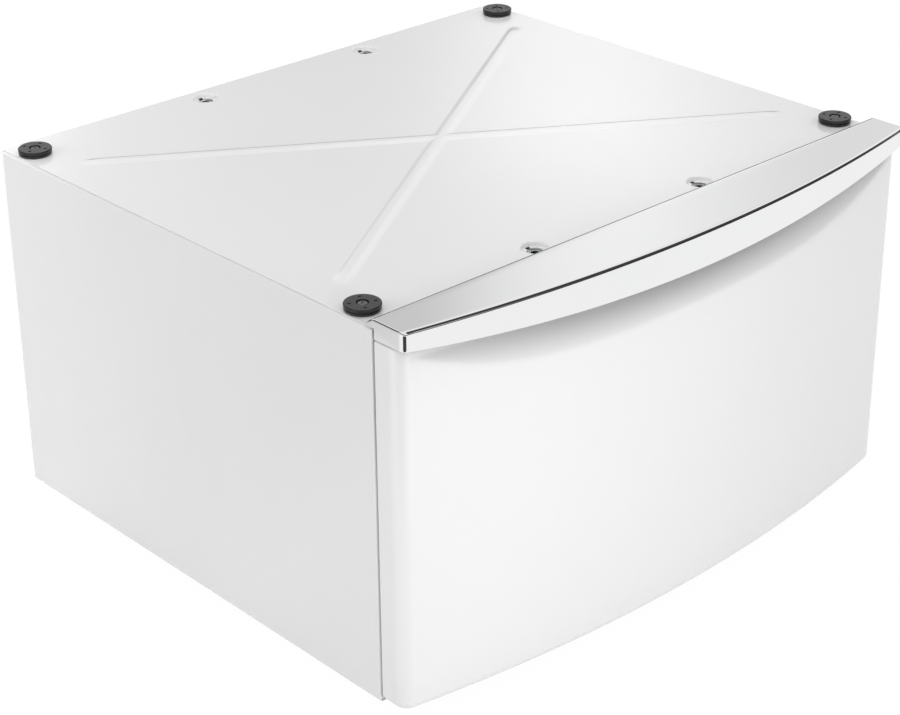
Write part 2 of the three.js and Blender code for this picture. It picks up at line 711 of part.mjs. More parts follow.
function footLockNut(x, y) {
  const radius = LOCK_NUT_FLATS / Math.sqrt(3);
  const high = BRACKET_UNDERSIDE - SEAT_GAP;
  const low = high - LOCK_NUT_HEIGHT;
  const nut = rod(radius, x, y, low, high, HEX);
  return cut(nut, rod(STUD_RADIUS + STUD_CLEARANCE, x, y, low - SEAT_GAP, high + SEAT_GAP));
}

function levellingFoot(x, y) {
  return turned([
    [0, 0],
    [FOOT_RADIUS - FOOT_CHAMFER, 0],
    [FOOT_RADIUS, FOOT_CHAMFER],
    [FOOT_RADIUS, FOOT_HEIGHT * FOOT_SIDE],
    [FOOT_RADIUS * 0.45, FOOT_HEIGHT],
    [STUD_RADIUS, FOOT_HEIGHT],
    [STUD_RADIUS, STUD_LENGTH - STUD_CHAMFER],
    [STUD_RADIUS - STUD_CHAMFER, STUD_LENGTH],
    [0, STUD_LENGTH],
  ], ROUND).translate(x, y, 0);
}

// Rubber stop between the cabinet's front and the closed drawer.
function drawerBumper(x) {
  const thick = DOOR_GAP - 2 * SEAT_GAP;
  return turned([
    [0, 0],
    [BUMPER_RADIUS, 0],
    [BUMPER_RADIUS, thick * 0.5],
    [BUMPER_RADIUS * 0.75, thick],
    [0, thick],
  ], ROUND).rotateX(Math.PI / 2).translate(x, -SEAT_GAP, TOP_FACE - BUMPER_DROP);
}

// ------------------------------------------------------------- drawer slides

// Slide sections are drawn as (u, v): u from the cabinet's side towards the
// drawer, v up from the centre line. This puts one at the left-hand slide.
function slideMember(outline, y0, y1) {
  return alongY(outline, y0, y1).translate(-SLIDE_FACE, 0, SLIDE_LEVEL);
}

// The fixed member: a channel whose edges curl round the outer balls.
function outerMemberSection() {
  const lip = BALL_LINE + OUTER_CURL;
  const end = OUTER_BALL_LEVEL - SLIDE_HALF_SHEET;
  return foldedSheet([
    [lip, end],
    [lip, OUTER_TOP, OUTER_CURL],
    [SLIDE_HALF_SHEET, OUTER_TOP, SLIDE_SHEET * 1.2],
    [SLIDE_HALF_SHEET, -OUTER_TOP, SLIDE_SHEET * 1.2],
    [lip, -OUTER_TOP, OUTER_CURL],
    [lip, -end],
  ], SLIDE_SHEET, SLIDE_SHEET, 4);
}

// The middle member: its edges are half circles, with a race on each side.
function middleMemberSection() {
  const lip = MID_WEB + 2 * INNER_CURL;
  const end = INNER_BALL_LEVEL - INNER_CURL * 0.35;
  const sharp = INNER_CURL * 0.999;
  return foldedSheet([
    [lip, end],
    [lip, MID_TOP, sharp],
    [MID_WEB, MID_TOP, sharp],
    [MID_WEB, -MID_TOP, sharp],
    [lip, -MID_TOP, sharp],
    [lip, -end],
  ], SLIDE_SHEET, INNER_CURL, 4);
}

// The drawer member: a plain channel that rides inside the inner balls.
function innerMemberSection() {
  const web = SLIDE_THICKNESS - SLIDE_HALF_SHEET;
  const edge = MID_WEB + SLIDE_HALF_SHEET + CAGE_SHEET + 2 * SEAT_GAP;
  return foldedSheet([
    [edge, INNER_TOP],
    [web, INNER_TOP],
    [web, -INNER_TOP],
    [edge, -INNER_TOP],
  ], SLIDE_SHEET, SLIDE_SHEET * 1.2, 3);
}

// A ball retainer: a thin channel with a row of balls in each flange.
function ballCage(webU, tipU, flangeV, ballRadius, ballLevel) {
  const t = CAGE_SHEET / 2;
  const section = foldedSheet([
    [tipU, flangeV],
    [webU, flangeV],
    [webU, -flangeV],
    [tipU, -flangeV],
  ], CAGE_SHEET, t * 1.6, 2);
  const strip = alongY(section, SLIDE_MIDDLE - CAGE_LENGTH / 2, SLIDE_MIDDLE + CAGE_LENGTH / 2);
  const pitch = CAGE_LENGTH / BALLS_PER_ROW;
  const balls = [];
  for (let i = 0; i < BALLS_PER_ROW; i += 1) {
    const y = SLIDE_MIDDLE - CAGE_LENGTH / 2 + pitch * (i + 0.5);
    [-1, 1].forEach((side) => {
      const ball = new THREE.SphereGeometry(ballRadius, HEX, 3);
      balls.push(ball.rotateX(Math.PI / 2).translate(BALL_LINE, y, side * ballLevel));
    });
  }
  return join(strip, ...balls).translate(-SLIDE_FACE, 0, SLIDE_LEVEL);
}

function outerCage() {
  const web = SLIDE_SHEET + SEAT_GAP + CAGE_SHEET / 2;
  const tip = BALL_LINE + OUTER_BALL - BALL_CLEARANCE;
  const flange = MID_TOP + SLIDE_HALF_SHEET + SEAT_GAP + CAGE_SHEET / 2;
  return ballCage(web, tip, flange, OUTER_BALL, OUTER_BALL_LEVEL);
}

function innerCage() {
  const web = MID_WEB + SLIDE_HALF_SHEET + SEAT_GAP + CAGE_SHEET / 2;
  const tip = BALL_LINE + INNER_BALL - BALL_CLEARANCE;
  const flange = INNER_TOP + SLIDE_HALF_SHEET + SEAT_GAP + CAGE_SHEET / 2;
  return ballCage(web, tip, flange, INNER_BALL, INNER_BALL_LEVEL);
}

// The drawer member with the riveted pin that carries the finger lever.
function slideInnerLeft() {
  const start = SLIDE_MIDDLE - INNER_LENGTH / 2;
  const member = slideMember(innerMemberSection(), start, start + INNER_LENGTH);
  const pinEnd = LEVER_FAR + SLIDE_SHEET;
  const pin = new THREE.CylinderGeometry(LEVER_PIN, LEVER_PIN, pinEnd - LEVER_NEAR, ROUND)
    .rotateZ(Math.PI / 2)
    .translate((LEVER_NEAR + pinEnd) / 2 - SLIDE_FACE, LEVER_PIVOT_Y, SLIDE_LEVEL);
  return join(member, pin);
}

// The finger lever that lets the drawer lift off its slide.
function releaseLeverLeft() {
  const outline = new THREE.Shape();
  const front = LEVER_PIVOT_Y - LEVER_LENGTH;
  outline.moveTo(LEVER_PIVOT_Y, -LEVER_BOSS);
  outline.absarc(LEVER_PIVOT_Y, 0, LEVER_BOSS, -Math.PI / 2, Math.PI / 2, false);
  outline.lineTo(front + LEVER_HOOK, LEVER_THICK);
  outline.quadraticCurveTo(front + LEVER_HOOK / 2, LEVER_THICK, front + LEVER_HOOK / 3, -LEVER_THICK / 2);
  outline.lineTo(front, -LEVER_THICK * 1.5);
  outline.lineTo(front, -LEVER_THICK * 2.6);
  outline.lineTo(front + LEVER_HOOK * 0.7, -LEVER_THICK * 2);
  outline.lineTo(LEVER_PIVOT_Y - LEVER_BOSS * 2.5, -LEVER_THICK * 1.2);
  outline.closePath();
  const bore = new THREE.Path();
  bore.absarc(LEVER_PIVOT_Y, 0, LEVER_PIN + LEVER_PIN_CLEARANCE, 0, Math.PI * 2, true);
  outline.holes.push(bore);
  return alongX(outline, LEVER_NEAR - SLIDE_FACE, LEVER_FAR - SLIDE_FACE, 5)
    .translate(0, 0, SLIDE_LEVEL);
}

function slideMountLeft() {
  const t = SHEET / 2;
  const foot = -HALF + SHEET + SEAT_GAP + t;
  const crown = -MOUNT_FACE - t;
  const level = SLIDE_LEVEL;
  const section = foldedSheet([
    [foot, level + MOUNT_HALF + MOUNT_FOOT],
    [foot, level + MOUNT_HALF],
    [crown, level + MOUNT_HALF],
    [crown, level - MOUNT_HALF],
    [foot, level - MOUNT_HALF],
    [foot, level - MOUNT_HALF - MOUNT_FOOT],
  ], SHEET, BEND - t);
  const rear = REAR_SEAT - SHEET - BEND - SEAT_GAP;
  return alongY(section, FRONT_RETURN + BEND, rear);
}

// ---------------------------------------------------------------- drawer box

function boxWallLeft() {
  const t = BOX_SHEET / 2;
  const wall = -BOX_FACE + t;
  const section = foldedSheet([
    [wall + BOX_HEM, BOX_TOP - BOX_HEM_DROP],
    [wall + BOX_HEM, BOX_TOP - t],
    [wall, BOX_TOP - t],
    [wall, BOX_BOTTOM + t],
    [wall + BOX_FLANGE, BOX_BOTTOM + t],
  ], BOX_SHEET, BEND - t);
  const front = -DOOR_GAP + SEAT_GAP;
  const tab = foldedSheet([
    [wall + BOX_TAB, front + t],
    [wall, front + t],
    [wall, front + BEND + BOX_SHEET],
  ], BOX_SHEET, BEND - t);
  const tabLow = BOX_BOTTOM + BOX_FLANGE + BEND;
  const tabHigh = BOX_TOP - BOX_HEM_DROP - BEND;
  const screwHoles = frontScrewPlaces().map(([, x, z]) => (
    pinAlongY(PAD_SCREW_RADIUS, x, z, front - BOX_SHEET, front + 2 * BOX_SHEET)
  ));
  const wallSheet = alongY(section, front + BEND, BOX_REAR);
  return cut(join(wallSheet, alongZ(tab, tabLow, tabHigh)), ...screwHoles);
}

function boxBottom() {
  const t = BOX_SHEET / 2;
  const level = BOX_BOTTOM + BOX_SHEET + SEAT_GAP + t;
  const reach = BOX_FACE - BOX_SHEET - SEAT_GAP - BEND;
  const section = foldedSheet([
    [-DOOR_GAP + SEAT_GAP + t, level + BOX_FLANGE - SEAT_GAP],
    [-DOOR_GAP + SEAT_GAP + t, level],
    [BOX_REAR - t, level],
    [BOX_REAR - t, level + BOX_FLANGE],
  ], BOX_SHEET, BEND - t);
  return alongX(section, -reach, reach);
}

function boxRearWall() {
  const t = BOX_SHEET / 2;
  const wall = BOX_FACE - BOX_SHEET - SEAT_GAP - t;
  const rear = BOX_REAR - BOX_SHEET - SEAT_GAP - t;
  const tab = BOX_FLANGE;
  const section = foldedSheet([
    [-wall, rear - tab],
    [-wall, rear],
    [wall, rear],
    [wall, rear - tab],
  ], BOX_SHEET, BEND - t);
  const low = BOX_BOTTOM + BOX_SHEET + 2 * SEAT_GAP + BEND;
  const high = BOX_TOP - BOX_SHEET - SEAT_GAP;
  const upright = alongZ(section, low, high);
  const hemRoom = [-1, 1].map((side) => {
    const inner = side * (BOX_FACE - BOX_HEM - 2 * BOX_SHEET - SEAT_GAP);
    const outer = side * (BOX_FACE + 1);
    return block(
      Math.min(inner, outer),
      Math.max(inner, outer),
      rear - tab - 1,
      rear + BOX_SHEET,
      BOX_TOP - BOX_HEM_DROP - SEAT_GAP,
      BOX_TOP + 1,
    );
  });
  return cut(upright, ...hemRoom);
}

// -------------------------------------------------------------- drawer front

// y of the bowed face at x, for a face this deep at its ends.
function bowedFace(x, endDepth) {
  const rise = Math.sqrt(BOW_RADIUS * BOW_RADIUS - x * x) - (BOW_RADIUS - FRONT_BOW);
  return -(endDepth + rise);
}

// Plan outline of the drawer front, from the left return round to the right:
// places with their outward direction.
function frontPlan() {
  const centreY = bowedFace(0, FRONT_END_DEPTH) + BOW_RADIUS;
  const filletX = HALF - FRONT_CORNER;
  const filletY = centreY - Math.sqrt((BOW_RADIUS - FRONT_CORNER) ** 2 - filletX ** 2);
  const splay = Math.atan2(filletX, centreY - filletY);
  const right = [];
  const bowSteps = 8;
  for (let i = 0; i <= bowSteps; i += 1) {
    const angle = (splay * i) / bowSteps;
    right.push({
      x: BOW_RADIUS * Math.sin(angle),
      y: centreY - BOW_RADIUS * Math.cos(angle),
      nx: Math.sin(angle),
      ny: -Math.cos(angle),
    });
  }
  const cornerSteps = 3;
  for (let i = 1; i <= cornerSteps; i += 1) {
    const angle = splay + ((Math.PI / 2 - splay) * i) / cornerSteps;
    right.push({
      x: filletX + FRONT_CORNER * Math.sin(angle),
      y: filletY - FRONT_CORNER * Math.cos(angle),
      nx: Math.sin(angle),
      ny: -Math.cos(angle),
    });
  }
  right.push({ x: HALF, y: -DOOR_GAP, nx: 1, ny: 0 });
  const left = right.slice(1).reverse().map((place) => ({
    x: -place.x,
    y: place.y,
    nx: -place.nx,
    ny: place.ny,
  }));
  return left.concat(right);
}

// How far the finger recess sets the face back, at (x, z).
function scoopAt(x, z) {
  const share = Math.abs(x) / SCOOP_REACH;
  if (share >= 1) return 0;
  const drop = SCOOP_END_DROP + (SCOOP_DROP - SCOOP_END_DROP) * (1 - share ** 4);
  const start = TOP_FACE - drop;
  const full = TOP_FACE - SCOOP_FULL_DROP;
  const rise = THREE.MathUtils.smoothstep(z, start, Math.max(full, start + 1));
  return SCOOP_DEPTH * (1 - share * share) * rise;
}

// Upright section of the drawer front as (inset from the face, z).
function frontRise() {
  const low = CABINET_FOOT + FRONT_LIFT;
  const ledge = TOP_FACE - SHOULDER_DROP;
  const high = TOP_FACE + FRONT_TOP_RISE;
  const fold = foldedLine([
    [FRONT_FLANGE_DEPTH, low],
    [0, low, FRONT_EDGE],
    [0, ledge, SHOULDER_EDGE],
    [SHOULDER_INSET, ledge, 1.5],
    [SHOULDER_INSET, high, 2.5],
    [FRONT_FLANGE_DEPTH, high],
  ], FRONT_EDGE, 3);
  const scoopTop = TOP_FACE - SCOOP_FULL_DROP;
  const scoopLow = TOP_FACE - SCOOP_DROP;
  const extra = [];
  const scoopSteps = 6;
  for (let i = 0; i <= scoopSteps; i += 1) {
    extra.push(new THREE.Vector2(0, scoopLow + ((scoopTop - scoopLow) * i) / scoopSteps));
  }
  extra.unshift(new THREE.Vector2(0, (low + scoopLow) / 2));
  const split = fold.findIndex((point) => point.y > scoopTop);
  return [...fold.slice(0, split), ...extra, ...fold.slice(split)];
}

// The skin's place and outward normal for a plan place and a rise point.
function skinPoint(place, rise) {
  const x = place.x - place.nx * rise.x;
  const y = place.y - place.ny * rise.x;
  return new THREE.Vector3(x, y + scoopAt(x, rise.y), rise.y);
}

function frontSkin() {
  const plan = frontPlan();
  const rises = frontRise();
  const outer = rises.map((rise) => plan.map((place) => skinPoint(place, rise)));
  const at = (row, column) => outer[
    THREE.MathUtils.clamp(row, 0, rises.length - 1)
  ][THREE.MathUtils.clamp(column, 0, plan.length - 1)];
  const inner = outer.map((row, i) => row.map((point, j) => {
    const across = at(i, j + 1).clone().sub(at(i, j - 1));
    const up = at(i + 1, j).clone().sub(at(i - 1, j));
    const normal = across.cross(up).normalize();
    return point.clone().addScaledVector(normal, -FRONT_SHEET);
  }));
  const rows = rises.length;
  const columns = plan.length;
  const top = rows - 1;
  const end = columns - 1;
  const positions = [...outer.flat(), ...inner.flat()].flatMap((p) => [p.x, p.y, p.z]);
  const index = [];
  const outerAt = (i, j) => i * columns + j;
  const innerAt = (i, j) => rows * columns + i * columns + j;
  const quad = (a, b, c, d) => index.push(a, b, c, a, c, d);
  for (let i = 0; i < top; i += 1) {
    for (let j = 0; j < end; j += 1) {
      quad(outerAt(i, j), outerAt(i, j + 1), outerAt(i + 1, j + 1), outerAt(i + 1, j));
      quad(innerAt(i, j), innerAt(i + 1, j), innerAt(i + 1, j + 1), innerAt(i, j + 1));
    }
    quad(outerAt(i, 0), outerAt(i + 1, 0), innerAt(i + 1, 0), innerAt(i, 0));
    quad(outerAt(i, end), innerAt(i, end), innerAt(i + 1, end), outerAt(i + 1, end));
  }
  for (let j = 0; j < end; j += 1) {
    quad(outerAt(0, j), innerAt(0, j), innerAt(0, j + 1), outerAt(0, j + 1));
    quad(outerAt(top, j), outerAt(top, j + 1), innerAt(top, j + 1), innerAt(top, j));
  }
  const geometry = new THREE.BufferGeometry();
  geometry.setAttribute('position', new THREE.Float32BufferAttribute(positions, 3));
  geometry.setIndex(index);
  return outwards(geometry);
}

// Shelf that closes the drawer front's foot, cut to the bowed face's inside.
function panShelf(level) {
  const inset = FRONT_SHEET + SEAT_GAP;
  const reach = HALF - FRONT_CORNER;
  const steps = 12;
  const shelf = new THREE.Shape();
  shelf.moveTo(-reach, -DOOR_GAP);
  for (let i = 0; i <= steps; i += 1) {
    const x = -reach + (2 * reach * i) / steps;
    shelf.lineTo(x, bowedFace(x, FRONT_END_DEPTH) + inset + scoopAt(x, level));
  }
  shelf.lineTo(reach, -DOOR_GAP);
  shelf.closePath();
  return alongZ(shelf, level - SHEET / 2, level + SHEET / 2);
}

// The pan that closes the back of the drawer front and carries the drawer box.
function innerPan() {
  const t = SHEET / 2;
  const wall = HALF - FRONT_SHEET - SEAT_GAP;
  const rear = -DOOR_GAP - t;
  const low = CABINET_FOOT + FRONT_LIFT + FRONT_EDGE + 2 * SEAT_GAP + t;
  const high = TOP_FACE - SHOULDER_DROP - SHOULDER_EDGE - FRONT_SHEET - SEAT_GAP;
  const front = rear - INNER_PAN_DEPTH;
  const plan = foldedSheet([
    [-wall + t, front],
    [-wall + t, rear],
    [wall - t, rear],
    [wall - t, front],
  ], SHEET, BEND - t);
  const side = foldedSheet([
    [front, low],
    [rear, low],
    [rear, high],
    [front, high],
  ], SHEET, BEND - t);
  const upright = alongZ(plan, low + BEND, high - BEND);
  const level = alongX(side, -wall + BEND, wall - BEND);
  const screwHoles = frontScrewPlaces().map(([, x, z]) => (
    pinAlongY(PAD_SCREW_RADIUS, x, z, rear - 2 * SHEET, rear + 2 * SHEET)
  ));
  return cut(join(upright, level, panShelf(low)), ...screwHoles);
}

// Two screws through each drawer wall's front tab, one above the other.
function frontScrewPlaces() {
  const x = BOX_FACE - BOX_TAB * 0.6;
  const low = BOX_BOTTOM + BOX_SCREW_INSET;
  const high = BOX_TOP - BOX_SCREW_INSET;
  return [
    ['lower_left', -x, low],
    ['lower_right', x, low],
    ['upper_left', -x, high],
    ['upper_right', x, high],
  ];
}

// Pan-headed screw from inside the drawer.
function frontScrew(x, z) {
  const seat = -DOOR_GAP + SEAT_GAP + BOX_SHEET + SEAT_GAP;
  return turned([
    [0, -BOX_SCREW_LENGTH],
    [SCREW_SHANK * 0.4, -BOX_SCREW_LENGTH],
    [SCREW_SHANK, -BOX_SCREW_LENGTH + 2],
    [SCREW_SHANK, 0],
    [PAD_SCREW_HEAD, 0],
    [PAD_SCREW_HEAD, 0.8],
    [PAD_SCREW_HEAD * 0.6, 1.8],
    [0, 2],
  ], SMALL_ROUND).rotateX(-Math.PI / 2).translate(x, seat, z);
}

// -------------------------------------------------------------- handle trim

function bandLowerEdge(x) {
  const share = x / HALF;
  return TOP_FACE - BAND_END_DROP - BAND_SMILE * (1 - share * share);
}

// y of the handle's front at x, with its upright end corners rounded.
function handleFace(x) {
  const reach = Math.abs(x);
  const start = HALF - HANDLE_CORNER;
  const endDepth = FRONT_END_DEPTH + HANDLE_PROUD;
  if (reach <= start) return bowedFace(x, endDepth);
  const along = Math.min(reach - start, HANDLE_CORNER);
  const centre = bowedFace(start, endDepth) + HANDLE_CORNER;
  return centre - Math.sqrt(HANDLE_CORNER ** 2 - along ** 2);
}

// Outer outline of the handle at x, from the rear lip over the top and down
// the front, as (y, z).
function handleOuter(x) {
  const face = handleFace(x);
  const top = TOP_FACE + HANDLE_RISE;
  const lipZ = TOP_FACE + HANDLE_LIP_GAP;
  const line = [
    new THREE.Vector2(HANDLE_REAR + HANDLE_LIP, lipZ),
    new THREE.Vector2(HANDLE_REAR + HANDLE_LIP * 0.55, lipZ + (HANDLE_RISE - HANDLE_LIP_GAP) * 0.42),
    new THREE.Vector2(HANDLE_REAR + 1, top - 1.1),
    new THREE.Vector2(HANDLE_REAR - 1.5, top - HANDLE_CROWN),
    new THREE.Vector2((face + HANDLE_REAR) / 2, top),
  ];
  for (let i = 0; i <= 4; i += 1) {
    const angle = (Math.PI / 2) * (1 - i / 4);
    line.push(new THREE.Vector2(
      face + HANDLE_EDGE * (1 - Math.cos(angle)),
      top - HANDLE_CROWN - HANDLE_EDGE * (1 - Math.sin(angle)),
    ));
  }
  line.push(new THREE.Vector2(face, bandLowerEdge(x)));
  return line;
}

function handleHollowRing(x) {
  const face = handleFace(x);
  const ceiling = TOP_FACE + HANDLE_RISE - HANDLE_WALL;
  const lipZ = TOP_FACE + HANDLE_LIP_GAP;
  const chamfer = HANDLE_WALL * 0.48;
  const inner = [
    new THREE.Vector2(face + HANDLE_WALL, bandLowerEdge(x)),
    new THREE.Vector2(face + HANDLE_WALL, ceiling - chamfer),
    new THREE.Vector2(face + HANDLE_WALL + chamfer, ceiling),
    new THREE.Vector2(HANDLE_REAR - 2, ceiling),
    new THREE.Vector2(HANDLE_REAR + HANDLE_LIP - HANDLE_LIP_WALL, lipZ),
  ];
  return [...handleOuter(x), ...inner].map((point) => new THREE.Vector3(x, point.x, point.y));
}

function handleEndRing(x) {
  const rear = -DOOR_GAP;
  const low = bandLowerEdge(x);
  const lipZ = TOP_FACE + HANDLE_LIP_GAP;
  const closing = [
    new THREE.Vector2(rear, low),
    new THREE.Vector2(rear, lipZ),
  ];
  return [...handleOuter(x), ...closing].map((point) => new THREE.Vector3(x, point.x, point.y));
}

function handleTrim() {
  const hollowReach = HALF - HANDLE_WALL;
  const stations = [];
  const steps = 18;
  const straight = HALF - HANDLE_CORNER;
  for (let i = 0; i <= steps; i += 1) stations.push(-straight + (2 * straight * i) / steps);
  stations.unshift(-hollowReach);
  stations.push(hollowReach);
  const hollow = lofted(stations.map(handleHollowRing), 'y', 'z');
  const lap = HANDLE_WALL / 5; // of an end wall into the hollow length
  const ends = [-1, 1].map((side) => {
    const places = [0, 0.35, 0.65, 0.87, 1].map((share) => (
      side * (hollowReach - lap + (HANDLE_WALL + lap) * share)
    ));
    return lofted(places.map(handleEndRing), 'y', 'z');
  });
  const ceiling = TOP_FACE + HANDLE_RISE - HANDLE_WALL / 2;
  const ledge = TOP_FACE + FRONT_TOP_RISE + SEAT_GAP;
  const boreRadius = SCREW_SHANK + HANDLE_BORE_CLEARANCE;
  const boreTop = TOP_FACE + FRONT_TOP_RISE - FRONT_SHEET + HANDLE_SCREW_LENGTH + SEAT_GAP;
  const bosses = handleBossPlaces().map(([x, y]) => (
    rod(HANDLE_BOSS_RADIUS, x, y, ledge, ceiling)
  ));
  const bores = handleBossPlaces().map(([x, y]) => (
    rod(boreRadius, x, y, ledge - SHEET, boreTop, SMALL_ROUND)
  ));
  return cut(join(hollow, ...ends, ...bosses), ...bores);
}

function handleBossPlaces() {
  return [-HANDLE_BOSS_X, HANDLE_BOSS_X].map((x) => {
    const face = bowedFace(x, FRONT_END_DEPTH) + scoopAt(x, TOP_FACE);
    return [x, face + FRONT_FLANGE_DEPTH - HANDLE_SCREW_HEAD - HANDLE_BORE_CLEARANCE];
  });
}

// Screw from below, through the drawer front's upper flange into the handle.
function handleScrew(x, y) {
  const seat = TOP_FACE + FRONT_TOP_RISE - FRONT_SHEET - SEAT_GAP;
  return turned([
    [0, seat - HANDLE_HEAD_HEIGHT],
    [HANDLE_SCREW_HEAD * 0.65, seat - HANDLE_HEAD_HEIGHT + 0.2],
    [HANDLE_SCREW_HEAD, seat - 0.8],
    [HANDLE_SCREW_HEAD, seat],
    [SCREW_SHANK, seat],
    [SCREW_SHANK, seat + HANDLE_SCREW_LENGTH],
    [0, seat + HANDLE_SCREW_LENGTH],
  ], SMALL_ROUND).translate(x, y, 0);
}

function frontPanel() {
  const holes = handleBossPlaces().map(([x, y]) => (
    rod(PAD_SCREW_RADIUS, x, y, TOP_FACE, TOP_FACE + FRONT_TOP_RISE + SHEET)
  ));
  return cut(frontSkin(), ...holes);
}

// ------------------------------------------------------------------ assembly

const pedestal = new THREE.Group();
pedestal.position.y = FRONT_Y;

function place(name, geometry, material) {
  const mesh = new THREE.Mesh(geometry, material);
  mesh.name = name;
  pedestal.add(mesh);
}

function placePair(name, leftGeometry, material) {
  place(`${name}_left`, leftGeometry, material);
  place(`${name}_right`, mirrored(bareCopy(leftGeometry)), material);
}

// Cabinet
placePair('side_panel', sidePanelLeft(), WHITE_PAINT);
place('rear_panel', rearPanel(), WHITE_PAINT);
place('top_panel', topPanel(), WHITE_PAINT);
place('front_top_rail', frontTopRail(), ZINC);
place('front_base_rail', frontBaseRail(), ZINC);
place('rear_base_rail', rearBaseRail(), ZINC);
place('front_mount_bar', mountBar(BOLT_FRONT_Y), ZINC);
place('rear_mount_bar', mountBar(BOLT_REAR_Y), ZINC);
placePair('slide_mount', slideMountLeft(), ZINC);
padPlaces().forEach(([corner, x, y]) => {
  place(`corner_pad_${corner}`, cornerPad(x, y), BLACK_RUBBER);
  place(`pad_screw_${corner}`, padScrew(x, y), ZINC);
});
[['front', FOOT_FRONT_Y], ['rear', FOOT_REAR_Y]].forEach(([end, y]) => {
  placePair(`foot_bracket_${end}`, footBracketLeft(y), ZINC);
  [['left', -FOOT_X], ['right', FOOT_X]].forEach(([side, x]) => {
    place(`foot_lock_nut_${end}_${side}`, footLockNut(x, y), ZINC);
    place(`levelling_foot_${end}_${side}`, levellingFoot(x, y), BLACK_PLASTIC);
  });
});
placePair('drawer_bumper', drawerBumper(BUMPER_INSET - HALF), BLACK_RUBBER);

// Slides
const outerMember = slideMember(outerMemberSection(), SLIDE_START, SLIDE_START + SLIDE_LENGTH);
const middleStart = SLIDE_MIDDLE - MID_LENGTH / 2;
const middleMember = slideMember(middleMemberSection(), middleStart, middleStart + MID_LENGTH);
placePair('slide_outer', outerMember, SLIDE_STEEL);
placePair('slide_middle', middleMember, SLIDE_STEEL);
placePair('slide_inner', slideInnerLeft(), SLIDE_STEEL);
placePair('outer_ball_cage', outerCage(), BALL_STEEL);
placePair('inner_ball_cage', innerCage(), BALL_STEEL);
placePair('release_lever', releaseLeverLeft(), BLACK_PLASTIC);

// Drawer
place('drawer_front_panel', frontPanel(), WHITE_FRONT);
place('drawer_inner_pan', innerPan(), WHITE_PAINT);
place('handle_trim', handleTrim(), CHROME);
placePair('drawer_wall', boxWallLeft(), WHITE_PAINT);
place('drawer_bottom', boxBottom(), WHITE_PAINT);
place('drawer_rear_wall', boxRearWall(), WHITE_PAINT);
const sides = ['left', 'right'];
frontScrewPlaces().forEach(([corner, x, z]) => {
  place(`front_screw_${corner}`, frontScrew(x, z), ZINC);
});
handleBossPlaces().forEach(([x, y], i) => {
  place(`handle_screw_${sides[i]}`, handleScrew(x, y), ZINC);
});

const object = new THREE.Group();
object.add(pedestal);

export default object;
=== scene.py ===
"""Looks of a laundry pedestal with a storage drawer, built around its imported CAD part.

Lengths are in millimetres in cabinet coordinates: y = 0 is the cabinet's front
plane, z = 0 the floor. in_frame() turns them into the frame's metres.
"""
import json
import math
import bmesh
import bpy
from mathutils import Matrix, Vector
from mathutils.geometry import delaunay_2d_cdt


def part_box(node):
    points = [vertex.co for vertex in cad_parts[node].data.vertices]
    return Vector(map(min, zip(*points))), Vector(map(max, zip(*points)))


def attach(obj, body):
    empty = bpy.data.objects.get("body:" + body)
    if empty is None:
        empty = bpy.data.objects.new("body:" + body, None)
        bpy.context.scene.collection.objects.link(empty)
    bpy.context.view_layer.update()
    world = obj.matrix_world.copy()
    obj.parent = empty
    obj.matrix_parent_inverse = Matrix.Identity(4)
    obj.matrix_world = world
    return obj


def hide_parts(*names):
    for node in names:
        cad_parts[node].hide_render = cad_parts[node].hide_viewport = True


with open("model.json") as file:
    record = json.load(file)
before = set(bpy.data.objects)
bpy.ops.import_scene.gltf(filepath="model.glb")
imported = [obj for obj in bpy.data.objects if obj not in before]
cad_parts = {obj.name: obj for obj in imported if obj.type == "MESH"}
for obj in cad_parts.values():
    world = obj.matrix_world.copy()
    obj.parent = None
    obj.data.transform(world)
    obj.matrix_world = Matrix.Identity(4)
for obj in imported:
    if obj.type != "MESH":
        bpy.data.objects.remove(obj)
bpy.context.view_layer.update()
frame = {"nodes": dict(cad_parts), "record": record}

# ------------------------------------------------------------------ sizes, mm

MM = 0.001
HALF = 343.0
DEPTH = 570.0
FOOT_LEVEL = 13.0
TOP = 394.0
SHEET = 1.2
BEND = 2.4
BEND_EASE = 0.01
GAP = 0.3
DOOR_GAP = 3.0
FRONT_Y = -248.0

# Folds of the cabinet's sheets
FRONT_FOLD = 18.0
FRONT_RETURN = 13.0
REAR_FOLD = 16.0
TOP_FOLD = 30.0
BOTTOM_FOLD = 22.0
FRONT_LIP = 16.0
REAR_LIP = 12.0
EDGE_INSET = 1.7
TOP_RAIL_FLANGE = 7.0
RAIL_FLANGE = 28.0
WELD_LEVELS = (30.0, 48.0, TOP - 22.0)

# Pressed cross
BEAD_REACH = (308.0, 200.0)
BEAD_WIDTH = 20.0
BEAD_HEIGHT = 2.0
BEAD_RUNOUT = 26.0
BEAD_CREST = 0.2

# Drawn hold-down holes
CUP_RADIUS = 14.2
CUP_DEPTH = 4.0
CUP_BORE = 8.0
CUP_ROUNDING = 0.7
CUP_MARGIN = 1.0
CUP_STEPS = 72
CUP_CLOSEST_ANGLES = 0.03
SLOT_HALF = 2.5
SLOT_REACH = 11.0

# Corner pads
PAD_RADIUS = 17.0
PAD_HEIGHT = 6.4
PAD_RECESS = 5.8
PAD_RECESS_DEPTH = 2.0
PAD_BORE = 2.8
PIT_CIRCLE = 11.6
PIT_RADIUS = 1.5
PIT_DEPTH = 1.4
PAD_TURN = {"front_left": -29.0, "front_right": -72.0, "rear_left": -60.0, "rear_right": -40.0}

